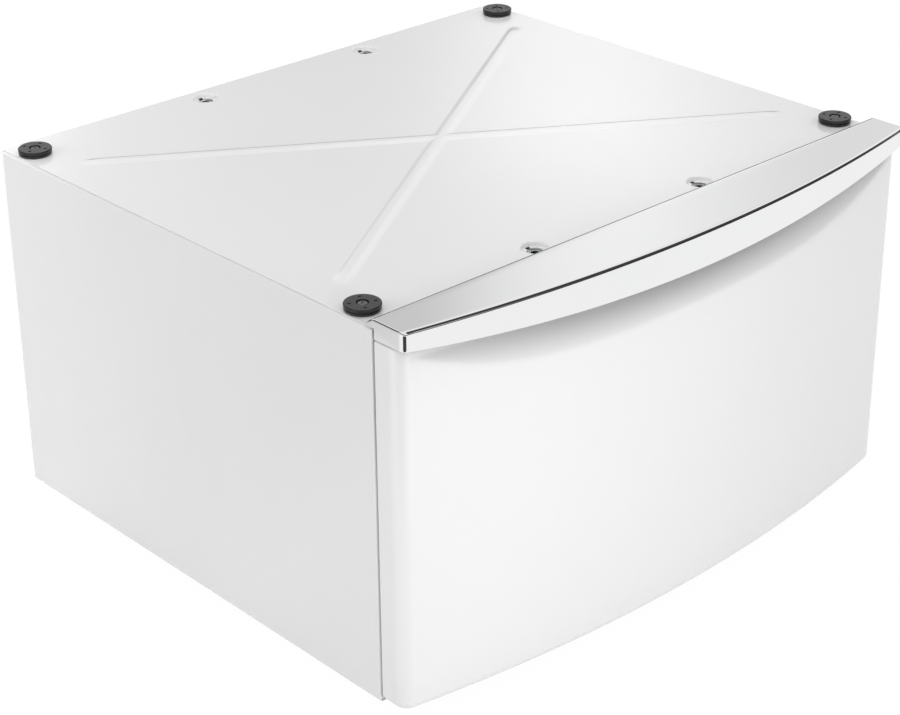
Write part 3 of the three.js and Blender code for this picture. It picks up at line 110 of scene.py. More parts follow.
# Drawer front
FRONT_SHEET = 1.5
FRONT_END = 31.5
FRONT_BOW = 34.5
FRONT_CORNER = 15.0
FRONT_EDGE = 9.0
FRONT_LIFT = 2.0
FRONT_FLANGE = 13.5
LEDGE_DROP = 9.8
LEDGE_INSET = 4.6
LEDGE_EDGE = 3.0
LEDGE_BEND = 1.5
RISE_EDGE = 2.5
FRONT_RISE = 3.5
SCOOP_DEPTH = 26.0
SCOOP_REACH = 330.0
SCOOP_DROP = 70.0
SCOOP_END_DROP = 20.0
SCOOP_FULL_DROP = 20.0

# Handle trim
HANDLE_RISE = 9.0
HANDLE_PROUD = 8.0
HANDLE_WALL = 2.5
HANDLE_CORNER = 6.0
HANDLE_EDGE = 3.5
HANDLE_END_EDGE = 1.6
HANDLE_REAR = 0.5
HANDLE_LIP = 9.5
HANDLE_LIP_GAP = 0.8
BAND_DROP = 9.5
BAND_SMILE = 17.5

# Levelling feet and screws
FOOT_RADIUS = 19.0
FOOT_HEIGHT = 8.5
STUD_RADIUS = 4.0
STUD_LENGTH = 40.0
STUD_TIP = 1.0
THREAD_PITCH = 1.25
THREAD_DEPTH = 0.55
NUT_FLATS = 13.0
NUT_HEIGHT = 4.6
NUT_FACE_LOSS = 0.55
NUT_CHAMFER = 1.0
NUT_CHAMFER_SLOPE = 0.6
SCREW_HEAD = 4.6
SCREW_SHANK = 2.3
SCREW_RISE = 1.5
SCREW_TURN = 25.0
CROSS_ARM = 2.3
CROSS_WIDTH = 0.6
CROSS_DEPTH = 0.9

# Slides, in section: u from the cabinet's side to the drawer, v up
SLIDE_HEIGHT = 45.0
SLIDE_THICK = 12.7
SLIDE_SHEET = 1.2
OUTER_BALL = 2.0
INNER_BALL = 1.75
BALL_PLAY = 0.1
MIDDLE_WEB = 2.9
CAGE_SHEET = 0.5
BALLS_IN_ROW = 16
LEVER_PIN = 1.8
LEVER_PIN_BACK = 4.0

# Drawer box
BOX_SHEET = 1.0
BOX_BOTTOM = 57.0
BOX_HEIGHT = 275.0
BOX_HEM = 10.0
BOX_HEM_DROP = 6.0
BOX_FOLD = 16.0
BOX_TAB = 24.0

BOW_RADIUS = (HALF * HALF + FRONT_BOW * FRONT_BOW) / (2 * FRONT_BOW)
SIDE_TOP = TOP - SHEET - GAP
REAR_SEAT = DEPTH - SHEET - GAP
BOX_TOP = BOX_BOTTOM + BOX_HEIGHT


# ------------------------------------------------------------ frame and places

def in_frame(point):
    """A place in cabinet millimetres, in the frame's metres."""
    x, y, z = point
    return (x * MM, (y + FRONT_Y) * MM, z * MM)


def in_cabinet(point):
    return Vector((point[0] / MM, point[1] / MM - FRONT_Y, point[2] / MM))


def box_of(node):
    """Lowest and highest corner of a CAD node in cabinet millimetres."""
    low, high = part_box(node)
    return in_cabinet(low), in_cabinet(high)


def middle_of(node):
    low, high = box_of(node)
    return (low + high) / 2


def bolt_places():
    """Centres of the four hold-down holes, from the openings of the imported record."""
    places = []
    for opening in frame["record"]["physics"]["openings"]:
        if opening["name"].startswith("bolt_hole"):
            low, high = (in_cabinet(corner) for corner in opening["box_m"])
            places.append(((low.x + high.x) / 2, (low.y + high.y) / 2))
    return places


BOLTS = bolt_places()


# --------------------------------------------------------------- mesh helpers

def smoothstep(value, low, high):
    """0 below low, 1 above high, and a soft step between them."""
    share = min(max((value - low) / (high - low), 0.0), 1.0)
    return share * share * (3 - 2 * share)


def round_angles(segments):
    return [2 * math.pi * s / segments for s in range(segments)]


def linked(name, data):
    """A new object for a mesh, a lamp or a camera, put in the scene."""
    thing = bpy.data.objects.new(name, data)
    bpy.context.scene.collection.objects.link(thing)
    return thing


def evaluated_mesh(thing):
    """A piece's mesh with its modifiers applied."""
    graph = bpy.context.evaluated_depsgraph_get()
    return bpy.data.meshes.new_from_object(thing.evaluated_get(graph), depsgraph=graph)


def shade(thing, crease):
    """Smooth shading up to a crease in degrees."""
    mesh = thing.data
    mesh.polygons.foreach_set("use_smooth", [True] * len(mesh.polygons))
    mesh.set_sharp_from_angle(angle=math.radians(crease))
    mesh.update()
    return thing


def solid(name, points, faces, crease=35.0, weld=None):
    """A mesh from points in cabinet millimetres, faces turned outwards, smooth up to a crease."""
    mesh = bpy.data.meshes.new(name)
    mesh.from_pydata([in_frame(p) for p in points], [], faces)
    mesh.validate()
    work = bmesh.new()
    work.from_mesh(mesh)
    if weld:
        bmesh.ops.remove_doubles(work, verts=work.verts, dist=weld * MM)
    bmesh.ops.recalc_face_normals(work, faces=work.faces)
    work.to_mesh(mesh)
    work.free()
    return shade(linked(name, mesh), crease)


def thickened(thing, thickness, crease):
    """Gives a single skin its wall, inwards from the skin, and keeps the plain mesh."""
    wall = thing.modifiers.new("wall", "SOLIDIFY")
    wall.thickness = thickness * MM
    wall.offset = -1.0
    mesh = evaluated_mesh(thing)
    thing.modifiers.clear()
    thing.data = mesh
    return shade(thing, crease)


def finish_piece(thing, material, body, *nodes):
    """Gives a piece its finish, its body and the CAD nodes that it stands for."""
    thing.data.materials.clear()
    thing.data.materials.append(material)
    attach(thing, body)
    if nodes:
        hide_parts(*nodes)


def grid_faces(rows, columns, wrap=False, closed=False):
    """Quads between rows of points; wrap joins a row's ends, closed the last row to the first."""
    faces = []
    for i in range(rows if closed else rows - 1):
        n = (i + 1) % rows
        for j in range(columns if wrap else columns - 1):
            k = (j + 1) % columns
            faces.append((i * columns + j, i * columns + k, n * columns + k, n * columns + j))
    return faces


def merged(*bodies):
    """One body, as points and faces, from several."""
    points, faces = [], []
    for some_points, some_faces in bodies:
        start = len(points)
        points.extend(some_points)
        faces.extend(tuple(start + i for i in face) for face in some_faces)
    return points, faces


def mirrored(body):
    points, faces = body
    return [(-x, y, z) for x, y, z in points], [tuple(face[::-1]) for face in faces]


def turned(profile, place, segments):
    """A solid of revolution about an axis along y, from a closed profile of (radius, y)."""
    x, y, z = place
    points = [(x + radius * math.cos(angle), y + reach, z + radius * math.sin(angle))
              for angle in round_angles(segments) for radius, reach in profile]
    return points, grid_faces(segments, len(profile), wrap=True, closed=True)


def folded_line(corners, radius, steps=8):
    """Middle line of a folded sheet; corners are (u, v) or (u, v, own radius)."""
    line = []
    for i, corner in enumerate(corners):
        here = Vector(corner[:2])
        own = corner[2] if len(corner) > 2 else radius
        if i in (0, len(corners) - 1):
            line.append(here)
            continue
        back = (Vector(corners[i - 1][:2]) - here).normalized()
        on = (Vector(corners[i + 1][:2]) - here).normalized()
        half = math.acos(max(-1.0, min(1.0, back.dot(on)))) / 2
        centre = here + (back + on).normalized() * (own / math.sin(half))
        start = here + back * (own / math.tan(half)) - centre
        end = here + on * (own / math.tan(half)) - centre
        sweep = math.atan2(start.x * end.y - start.y * end.x, start.dot(end))
        for k in range(steps + 1):
            turn = Matrix.Rotation(sweep * k / steps, 2)
            line.append(centre + turn @ start)
    return line


def sheet_outline(line, thickness):
    """Both faces of a folded sheet, from its middle line."""
    left, right = [], []
    for i, point in enumerate(line):
        into = (point - line[i - 1]).normalized() if i else (line[1] - point).normalized()
        out = (line[i + 1] - point).normalized() if i < len(line) - 1 else into
        along = (into + out).normalized()
        side = Vector((-along.y, along.x)) * (thickness / 2 / into.dot(along))
        left.append(point + side)
        right.append(point - side)
    return left + right[::-1]


def along_x(u, v, w):
    return (w, u, v)


def along_y(u, v, w):
    return (u, w, v)


def along_z(u, v, w):
    return (u, v, w)


def run_sheet(corners, thickness, radius, to_point, start, end, steps=8):
    """A folded sheet run from start to end; to_point(u, v, w) gives cabinet places."""
    outline = sheet_outline(folded_line(corners, radius, steps), thickness)
    count = len(outline)
    points = [to_point(p.x, p.y, w) for w in (start, end) for p in outline]
    faces = grid_faces(2, count, wrap=True)
    half = count // 2
    for base in (0, count):
        for k in range(half - 1):
            faces.append((base + k, base + k + 1, base + count - 2 - k, base + count - 1 - k))
    return points, faces


# ------------------------------------------------------------- node helpers

FLOAT = "NodeSocketFloat"
COLOR = "NodeSocketColor"
GEOMETRY = "NodeSocketGeometry"
MATERIAL = "NodeSocketMaterial"
WHITE = (1, 1, 1, 1)
NOISE_MIDDLE = (0.3, 0.7)


def new_group(name, kind, inputs, outputs):
    """A node group with named sockets, each given as (name, socket type, start value)."""
    group = bpy.data.node_groups.new(name, kind)
    for title, socket, value in inputs:
        made = group.interface.new_socket(title, in_out="INPUT", socket_type=socket)
        if value is not None:
            made.default_value = value
    for title, socket in outputs:
        group.interface.new_socket(title, in_out="OUTPUT", socket_type=socket)
    entry = group.nodes.new("NodeGroupInput")
    out = group.nodes.new("NodeGroupOutput")
    return group, entry.outputs, out


def add(tree, kind, feeds=None, **settings):
    """Adds a node with its own settings; feeds gives its inputs plain values or sockets."""
    node = tree.nodes.new(kind)
    for title, value in settings.items():
        setattr(node, title, value)
    for title, value in (feeds or {}).items():
        if isinstance(value, bpy.types.NodeSocket):
            tree.links.new(value, node.inputs[title])
        else:
            node.inputs[title].default_value = value
    return node


def number(tree, operation, first, second):
    return add(tree, "ShaderNodeMath", {0: first, 1: second}, operation=operation).outputs["Value"]


def measured(tree, operation, place, other):
    """The number that a vector operation, such as a dot product, gives."""
    node = add(tree, "ShaderNodeVectorMath", {0: place, 1: other}, operation=operation)
    return node.outputs["Value"]


def direction(tree, place):
    """The unit vector that points to a place."""
    return add(tree, "ShaderNodeVectorMath", {0: place}, operation="NORMALIZE").outputs["Vector"]


def ranged(tree, value, start, end, low, high, step="LINEAR"):
    """Maps start..end to low..high, each a number or a socket."""
    feeds = {"Value": value, "From Min": start, "From Max": end, "To Min": low, "To Max": high}
    return add(tree, "ShaderNodeMapRange", feeds, interpolation_type=step).outputs["Result"]


def mixed(tree, kind, share, first, second):
    """Blends two numbers or two colours by a share."""
    feeds = {"Factor": share, "A": first, "B": second}
    return add(tree, "ShaderNodeMix", feeds, data_type=kind).outputs["Result"]


def noise(tree, place, scale, detail):
    feeds = {"Vector": place, "Scale": scale, "Detail": detail, "Roughness": 0.5}
    return add(tree, "ShaderNodeTexNoise", feeds).outputs["Fac"]


# ----------------------------------------------------------------- materials

SPECK_SHARE = 0.3
# Painted shade on the drawer front: reach of the hollows that darken its colour, and the heights in mm
# over which it sets in
RECESS_REACH = 90.0
RECESS_LOW = 230.0
RECESS_HIGH = 330.0


def surface_group(name, ripple_detail, stretch):
    """Colour, roughness and height of a finish: a broad mottle, fine specks and a ripple."""
    group, given, out = new_group(name, "ShaderNodeTree", [
        ("Light Tone", COLOR, None), ("Dark Tone", COLOR, None),
        ("Smoothest", FLOAT, 0.2), ("Roughest", FLOAT, 0.3),
        ("Mottle Scale", FLOAT, 9.0), ("Ripple Scale", FLOAT, 600.0), ("Speck Scale", FLOAT, 2500.0),
    ], [("Color", COLOR), ("Roughness", FLOAT), ("Height", FLOAT)])
    place = add(group, "ShaderNodeTexCoord").outputs["Object"]
    grain = add(group, "ShaderNodeMapping", {"Vector": place, "Scale": stretch}).outputs["Vector"]
    mottle = noise(group, grain, given["Mottle Scale"], 4.0)
    ripple = noise(group, grain, given["Ripple Scale"], ripple_detail)
    speck = noise(group, place, given["Speck Scale"], 1.0)
    specked = mixed(group, "FLOAT", SPECK_SHARE, mottle, speck)
    light = ranged(group, specked, *NOISE_MIDDLE, 0.0, 1.0)
    tone = mixed(group, "RGBA", light, given["Dark Tone"], given["Light Tone"])
    gloss = ranged(group, mottle, *NOISE_MIDDLE, given["Smoothest"], given["Roughest"])
    for title, value in (("Color", tone), ("Roughness", gloss), ("Height", ripple)):
        group.links.new(value, out.inputs[title])
    return group


def surface(name, group, light, dark, smoothest, roughest, scales, relief, metallic=0.0, coat=0.0,
            coat_rough=0.08, ior=1.5, painted_shade=0.0):
    """A Principled material fed by a surface group; relief is its ripple's depth in mm.
    The last argument sets how far painted shade, from an ambient-occlusion node, darkens the base
    colour near hollows."""
    material = bpy.data.materials.new(name)
    material.use_nodes = True
    tree = material.node_tree
    shader = tree.nodes["Principled BSDF"]
    shader.inputs["Metallic"].default_value = metallic
    shader.inputs["Coat Weight"].default_value = coat
    shader.inputs["Coat Roughness"].default_value = coat_rough
    shader.inputs["IOR"].default_value = ior
    mottle, ripple, speck = scales
    finish = add(tree, "ShaderNodeGroup", {
        "Light Tone": (*light, 1), "Dark Tone": (*dark, 1), "Smoothest": smoothest,
        "Roughest": roughest, "Mottle Scale": mottle, "Ripple Scale": ripple, "Speck Scale": speck,
    }, node_tree=group).outputs
    color = finish["Color"]
    # Painted shade: hollows near the surface darken the base colour
    if painted_shade:
        color = painted_recess_shade(tree, color, painted_shade)
    bump = add(tree, "ShaderNodeBump", {"Distance": relief * MM, "Height": finish["Height"]})
    tree.links.new(color, shader.inputs["Base Color"])
    tree.links.new(finish["Roughness"], shader.inputs["Roughness"])
    tree.links.new(bump.outputs["Normal"], shader.inputs["Normal"])
    return material


def painted_recess_shade(tree, color, share):
    """Painted shade: darkens a colour in hollows near it, found by an ambient-occlusion node, in the
    panel's upper part.
    """
    hollow = add(tree, "ShaderNodeAmbientOcclusion",
                 {"Color": color, "Distance": RECESS_REACH * MM}, samples=8)
    place = add(tree, "ShaderNodeTexCoord").outputs["Object"]
    height = add(tree, "ShaderNodeSeparateXYZ", {"Vector": place}).outputs["Z"]
    upper = ranged(tree, height, RECESS_LOW * MM, RECESS_HIGH * MM, 0.0, share)
    return mixed(tree, "RGBA", upper, color, hollow.outputs["Color"])


PAINT = surface_group("sprayed_paint", 2.0, (1, 1, 1))
PLATING = surface_group("plated_metal", 3.0, (1, 1, 1))
ROLLED = surface_group("rolled_metal", 4.0, (1, 0.04, 1))
MOULDED = surface_group("moulded_rubber", 3.0, (1, 1, 1))

CABINET_WHITE = surface("cabinet_white", PAINT, (0.83, 0.83, 0.832), (0.815, 0.815, 0.818),
                        0.16, 0.2, (7, 500, 3000), 0.004, coat=0.6, coat_rough=0.1)
# The drawer front's colour carries painted shade in its finger recess, under the handle
FRONT_WHITE = surface("front_white", PAINT, (0.86, 0.86, 0.862), (0.85, 0.85, 0.852),
                      0.2, 0.24, (6, 350, 3000), 0.003, coat=0.5, painted_shade=0.8)
BOX_WHITE = surface("drawer_box_white", PAINT, (0.8, 0.8, 0.8), (0.775, 0.775, 0.78),
                    0.34, 0.42, (11, 900, 3000), 0.01, coat=0.1)
HANDLE_CHROME = surface("handle_chrome", PLATING, (0.88, 0.88, 0.885), (0.865, 0.867, 0.872),
                        0.03, 0.055, (14, 60, 2000), 0.0004, metallic=1.0)
ZINC = surface("zinc_plate", PLATING, (0.62, 0.63, 0.64), (0.5, 0.51, 0.53),
               0.3, 0.42, (45, 160, 1200), 0.008, metallic=1.0)
SLIDE_STEEL = surface("slide_steel", ROLLED, (0.56, 0.57, 0.59), (0.45, 0.46, 0.48),
                      0.24, 0.34, (120, 500, 1500), 0.006, metallic=1.0)
SCREW_STEEL = surface("dark_screw_steel", PLATING, (0.2, 0.2, 0.205), (0.14, 0.14, 0.145),
                      0.3, 0.42, (60, 220, 1500), 0.006, metallic=1.0)
BALL_STEEL = surface("ball_steel", PLATING, (0.75, 0.76, 0.78), (0.7, 0.71, 0.73),
                     0.08, 0.14, (200, 300, 2000), 0.001, metallic=1.0)
PAD_RUBBER = surface("pad_rubber", MOULDED, (0.022, 0.022, 0.023), (0.012, 0.012, 0.013),
                     0.3, 0.42, (150, 900, 2500), 0.01, coat=0.35, coat_rough=0.2, ior=1.35)
FOOT_PLASTIC = surface("foot_plastic", MOULDED, (0.024, 0.024, 0.025), (0.015, 0.015, 0.016),
                       0.32, 0.45, (120, 700, 2500), 0.012, coat=0.2)


# ------------------------------------------------------- geometry-node pieces

def ball_rows_tree():
    """Two rows of balls along y, one above the other, from a cage's middle."""
    group, given, out = new_group("ball_rows", "GeometryNodeTree", [
        ("Middle", GEOMETRY, None), ("Balls In A Row", "NodeSocketInt", 16),
        ("Row Length", FLOAT, 0.2), ("Half Row Gap", FLOAT, 0.018),
        ("Ball Radius", FLOAT, 0.002), ("Finish", MATERIAL, None),
    ], [("Balls", GEOMETRY)])
    start, end = (
        add(group, "ShaderNodeCombineXYZ", {"Y": number(group, "MULTIPLY", given["Row Length"], share)})
        for share in (-0.5, 0.5)
    )
    row = add(group, "GeometryNodeMeshLine", {
        "Count": given["Balls In A Row"], "Start Location": start.outputs[0], "Offset": end.outputs[0],
    }, mode="END_POINTS")
    ball = add(group, "GeometryNodeMeshUVSphere",
               {"Segments": 14, "Rings": 8, "Radius": given["Ball Radius"]})
    strung = add(group, "GeometryNodeInstanceOnPoints",
                 {"Points": row.outputs["Mesh"], "Instance": ball.outputs["Mesh"]})
    pair = add(group, "GeometryNodeJoinGeometry")
    for sign in (1.0, -1.0):
        level = number(group, "MULTIPLY", given["Half Row Gap"], sign)
        lift = add(group, "ShaderNodeCombineXYZ", {"Z": level})
        moved = add(group, "GeometryNodeTransform",
                    {"Geometry": strung.outputs["Instances"], "Translation": lift.outputs[0]})
        group.links.new(moved.outputs["Geometry"], pair.inputs["Geometry"])
    seated = add(group, "GeometryNodeInstanceOnPoints",
                 {"Points": given["Middle"], "Instance": pair.outputs["Geometry"]})
    finish_tree(group, seated, given, out)
    return group


def copies_tree():
    """One modelled piece, such as a screw, set on every point of a pattern."""
    group, given, out = new_group("set_on_points", "GeometryNodeTree", [
        ("Points", GEOMETRY, None), ("Piece", "NodeSocketObject", None),
        ("Size", FLOAT, 1.0), ("Turn", FLOAT, 0.0), ("Finish", MATERIAL, None),
    ], [("Copies", GEOMETRY)])
    source = add(group, "GeometryNodeObjectInfo", {"Object": given["Piece"]})
    spin = add(group, "ShaderNodeCombineXYZ", {"Z": given["Turn"]})
    placed = add(group, "GeometryNodeInstanceOnPoints", {
        "Points": given["Points"], "Instance": source.outputs["Geometry"],
        "Rotation": spin.outputs[0], "Scale": given["Size"],
    })
    finish_tree(group, placed, given, out)
    return group


def finish_tree(group, placed, given, out):
    """Ends a tree: its instances become real and take their finish."""
    real = add(group, "GeometryNodeRealizeInstances", {"Geometry": placed.outputs["Instances"]})
    painted = add(group, "GeometryNodeSetMaterial",
                  {"Geometry": real.outputs["Geometry"], "Material": given["Finish"]})
    group.links.new(painted.outputs["Geometry"], out.inputs[0])


def grown(name, points, tree, **sizes):
    """Runs a tree on loose points, given in cabinet millimetres, and keeps its plain mesh."""
    seeds = bpy.data.meshes.new(name + "_points")
    seeds.from_pydata([in_frame(p) for p in points], [], [])
    holder = linked(name + "_points", seeds)
    modifier = holder.modifiers.new("tree", "NODES")
    modifier.node_group = tree
    for item in tree.interface.items_tree:
        key = item.name.replace(" ", "_").lower()
        if item.in_out == "INPUT" and key in sizes:
            modifier[item.identifier] = sizes[key]
    mesh = evaluated_mesh(holder)
    bpy.data.objects.remove(holder)
    return shade(linked(name, mesh), 40.0)


BALL_ROWS = ball_rows_tree()
COPIES = copies_tree()


# ----------------------------------------------------------------- top panel

ARM_LENGTH = math.hypot(*BEAD_REACH)
ARM_ANGLE = math.atan2(BEAD_REACH[1], BEAD_REACH[0])


def bead_height(x, y):
    """Height of the pressed cross over the flat sheet."""
    best = 0.0
    for side in (1, -1):
        angle = ARM_ANGLE * side
        dx, dy = x, y - DEPTH / 2
        along = dx * math.cos(angle) + dy * math.sin(angle)
        across = -dx * math.sin(angle) + dy * math.cos(angle)
        fade = 1.0 - smoothstep(abs(along), ARM_LENGTH - BEAD_RUNOUT, ARM_LENGTH)
        share = min(abs(across) / (BEAD_WIDTH / 2), 1.0)
        best = max(best, BEAD_HEIGHT * fade * (1.0 - smoothstep(share, BEAD_CREST, 1.0)))
    return best


CUP_RIM = CUP_RADIUS + CUP_ROUNDING + CUP_MARGIN
CUP_PROFILE = [
    (CUP_RIM, 0.0), (CUP_RIM - CUP_MARGIN / 2, 0.0), (CUP_RADIUS + CUP_ROUNDING, 0.0),
    (CUP_RADIUS + 0.35, -0.03), (CUP_RADIUS, -0.12), (CUP_RADIUS - 0.5, -0.38),
    (CUP_RADIUS - 0.95, -0.8), (CUP_RADIUS - 1.35, -1.4), (CUP_RADIUS - 1.7, -2.1),
    (CUP_RADIUS - 2.05, -2.8), (CUP_RADIUS - 2.4, -3.35), (CUP_RADIUS - 2.9, -3.75),
    (CUP_RADIUS - 3.5, -3.95), (CUP_RADIUS - 4.2, -CUP_DEPTH), (CUP_BORE, -CUP_DEPTH),
]


def cup_height(radius):
    for (outer, high), (inner, low) in zip(CUP_PROFILE, CUP_PROFILE[1:]):
        if inner <= radius <= outer:
            return high + (low - high) * (outer - radius) / (outer - inner)
    return 0.0 if radius > CUP_RIM else -CUP_DEPTH


def cup_angles():
    """Angles round a hold-down hole, with the corners of its slot among them."""
    near = math.asin(SLOT_HALF / CUP_BORE)
    far = math.atan2(SLOT_HALF, SLOT_REACH)
    corners = [math.pi / 2 + side * angle for angle in (near, far) for side in (-1, 1)]
    even = [2 * math.pi * k / CUP_STEPS for k in range(CUP_STEPS)]
    spaced = [a for a in even if all(abs(a - corner) > CUP_CLOSEST_ANGLES for corner in corners)]
    return sorted(spaced + corners)


CUP_ANGLES = cup_angles()


def floor_edge(angle):
    """Distance from a hole's centre to the edge of its floor, at the bore or the slot."""
    across, along = abs(math.cos(angle)), math.sin(angle)
    if along <= 0:
        return CUP_BORE
    return max(CUP_BORE, min(SLOT_REACH / along, SLOT_HALF / max(across, 1e-6)))


def cup(x, y):
    """The drawn cup as rings from its rim in to the floor's edge."""
    points = []
    for radius, _ in CUP_PROFILE:
        share = (radius - CUP_BORE) / (CUP_RIM - CUP_BORE)
        for angle in CUP_ANGLES:
            edge = floor_edge(angle)
            reach = edge + (CUP_RIM - edge) * share
            points.append((x + reach * math.cos(angle), y + reach * math.sin(angle),
                           TOP + cup_height(reach)))
    return points, grid_faces(len(CUP_PROFILE), len(CUP_ANGLES), wrap=True)


def bead_stations():
    """Places along an arm, closer together where it fades out."""
    outer = [ARM_LENGTH - BEAD_RUNOUT * k / 8 for k in range(9)]
    inner = [outer[-1] * (1 - k / 24) for k in range(1, 24)]
    half = [ARM_LENGTH + 1] + outer + inner
    return [-s for s in half] + [0.0] + half[::-1]


def flat_sheet():
    """The top sheet round the cups: a flat net of triangles lifted along the beads."""
    reach = HALF - EDGE_INSET
    points, edges = [], []

    def polyline(places, closed):
        start = len(points)
        points.extend(Vector(p) for p in places)
        last = len(places) - 1
        edges.extend((start + k, start + k + 1) for k in range(last))
        if closed:
            edges.append((start + last, start))

    polyline([(-reach, BEND), (reach, BEND), (reach, DEPTH - BEND), (-reach, DEPTH - BEND)], True)
    shares = (0.1, BEAD_CREST, 0.3, 0.4, 0.5, 0.6, 0.7, 0.8, 0.9, 1.0, 1.06)
    offsets = [share * BEAD_WIDTH / 2 for share in shares]
    offsets = [-o for o in offsets[::-1]] + [0.0] + offsets
    for side in (1, -1):
        angle = ARM_ANGLE * side
        for across in offsets:
            polyline([(s * math.cos(angle) - across * math.sin(angle),
                       DEPTH / 2 + s * math.sin(angle) + across * math.cos(angle))
                      for s in bead_stations()], False)
    for x, y in BOLTS:
        polyline([(x + CUP_RIM * math.cos(a), y + CUP_RIM * math.sin(a)) for a in CUP_ANGLES], True)
    flat, _, faces, _, _, _ = delaunay_2d_cdt(points, edges, [], 0, 1e-5)
    kept = []
    for face in faces:
        middle = sum((flat[i] for i in face), Vector((0, 0))) / len(face)
        if all(math.hypot(middle.x - x, middle.y - y) > CUP_RIM * 0.998 for x, y in BOLTS):
            kept.append(tuple(face))
    return [(p.x, p.y, TOP + bead_height(p.x, p.y)) for p in flat], kept


def top_sheet():
    """The top panel with its pressed cross and four drawn cups, given its wall."""
    sheet = solid("top_panel_sheet", *merged(flat_sheet(), *(cup(x, y) for x, y in BOLTS)),
                  crease=60.0, weld=0.02)
    faces = sheet.data.polygons
    if max(faces, key=lambda face: face.area).normal.z < 0:
        sheet.data.flip_normals()
    return thickened(sheet, SHEET, 60.0)


def top_lips():
    """The top panel's turned-down edges, front and rear."""
    t = SHEET / 2
    reach = HALF - FRONT_FOLD - t - GAP
    front = [(t, TOP - FRONT_LIP), (t, TOP - t), (BEND, TOP - t)]
    rear = [(DEPTH - BEND, TOP - t), (DEPTH - t, TOP - t), (DEPTH - t, TOP - REAR_LIP)]
    lips = [run_sheet(fold, SHEET, BEND - t - BEND_EASE, along_x, -reach, reach)
            for fold in (front, rear)]
    return solid("top_panel_lips", *merged(*lips))


# ------------------------------------------------------------ cabinet sheets

def side_panel(side):
    """One side with its folds; drawn for the left and mirrored for the right."""
    t = SHEET / 2
    wall = -HALF + t
    radius = BEND - t
    plan = [(-HALF + FRONT_FOLD, FRONT_RETURN), (-HALF + FRONT_FOLD, t), (wall, t),
            (wall, REAR_SEAT - t), (-HALF + REAR_FOLD, REAR_SEAT - t)]
    foot = [(-HALF + BOTTOM_FOLD, FOOT_LEVEL + t), (wall, FOOT_LEVEL + t), (wall, FOOT_LEVEL + BEND)]
    head = [(wall, SIDE_TOP - BEND), (wall, SIDE_TOP - t), (-HALF + TOP_FOLD, SIDE_TOP - t)]
    ends = (0.0, REAR_SEAT)
    shell = merged(
        run_sheet(plan, SHEET, radius, along_z, FOOT_LEVEL + BEND, SIDE_TOP - BEND),
        run_sheet(foot, SHEET, radius - BEND_EASE, along_y, *ends),
        run_sheet(head, SHEET, radius - BEND_EASE, along_y, *ends),
    )
    name = "side_panel_skin_left" if side < 0 else "side_panel_skin_right"
    return solid(name, *(shell if side < 0 else mirrored(shell)))


def front_rail(name, low, high, upper):
    """A channel across the cabinet's front, open to the back."""
    t = SHEET / 2
    reach = HALF - FRONT_FOLD - t - GAP
    face = SHEET + GAP + t
    section = [(face - t + upper, high - t), (face, high - t),
               (face, low + t), (face - t + RAIL_FLANGE, low + t)]
    return solid(name, *run_sheet(section, SHEET, BEND - t, along_x, -reach, reach))


def weld_dimple():
    """The shallow round print that a spot weld leaves in a sheet, facing the front."""
    profile = [(0, -0.12), (1.6, -0.14), (2.2, -0.28), (2.6, -0.22), (2.9, 0.0), (0, 0.0)]
    return solid("weld_print", *turned(profile, (0, -FRONT_Y, 0), 24), crease=60.0, weld=0.001)


# ---------------------------------------------------------------- corner pads

def pad_height(x, y, level):
    """Level of the pad's top with its four moulded pits."""
    deepest = 0.0
    for k in range(4):
        angle = math.pi / 2 * k
        far = math.hypot(x - PIT_CIRCLE * math.cos(angle), y - PIT_CIRCLE * math.sin(angle))
        deepest = max(deepest, 1.0 - smoothstep(far, PIT_RADIUS * 0.7, PIT_RADIUS))
    return level - PIT_DEPTH * deepest


def corner_pad(corner):
    """A round rubber pad with a grooved side, a recess for its screw and four pits round it."""
    low, _ = box_of(f"corner_pad_{corner}")
    middle = middle_of(f"corner_pad_{corner}")
    h, r = PAD_HEIGHT, PAD_RADIUS
    segments = 144
    side = [
        (PAD_BORE, 0), (r - 0.9, 0), (r - 0.5, 0.4), (r - 0.3, h * 0.34), (r - 0.6, h * 0.38),
        (r - 1.15, h * 0.42), (r - 1.15, h * 0.52), (r - 0.6, h * 0.56), (r - 0.1, h * 0.61),
        (r, h * 0.68), (r, h * 0.84), (r - 0.22, h * 0.94), (r - 0.7, h),
    ]
    rings = 26
    crown = [(r - 1.3 - (r - 1.3 - PAD_RECESS - 0.5) * k / rings, h) for k in range(rings + 1)]
    recess = [(PAD_RECESS + 0.15, h - 0.1), (PAD_RECESS, h - 0.5), (PAD_RECESS, h - PAD_RECESS_DEPTH),
              (PAD_BORE, h - PAD_RECESS_DEPTH)]
    profile = side + crown + recess
    turn = math.radians(PAD_TURN[corner])
    points = []
    for angle in round_angles(segments):
        for k, (radius, height) in enumerate(profile):
            x, y = radius * math.cos(angle), radius * math.sin(angle)
            if len(side) <= k < len(side) + len(crown):
                height = pad_height(x, y, height)
            points.append((middle.x + x * math.cos(turn) - y * math.sin(turn),
                           middle.y + x * math.sin(turn) + y * math.cos(turn), low.z + height))
    faces = grid_faces(segments, len(profile), wrap=True, closed=True)
    return solid(f"pad_{corner}", points, faces, crease=38.0)


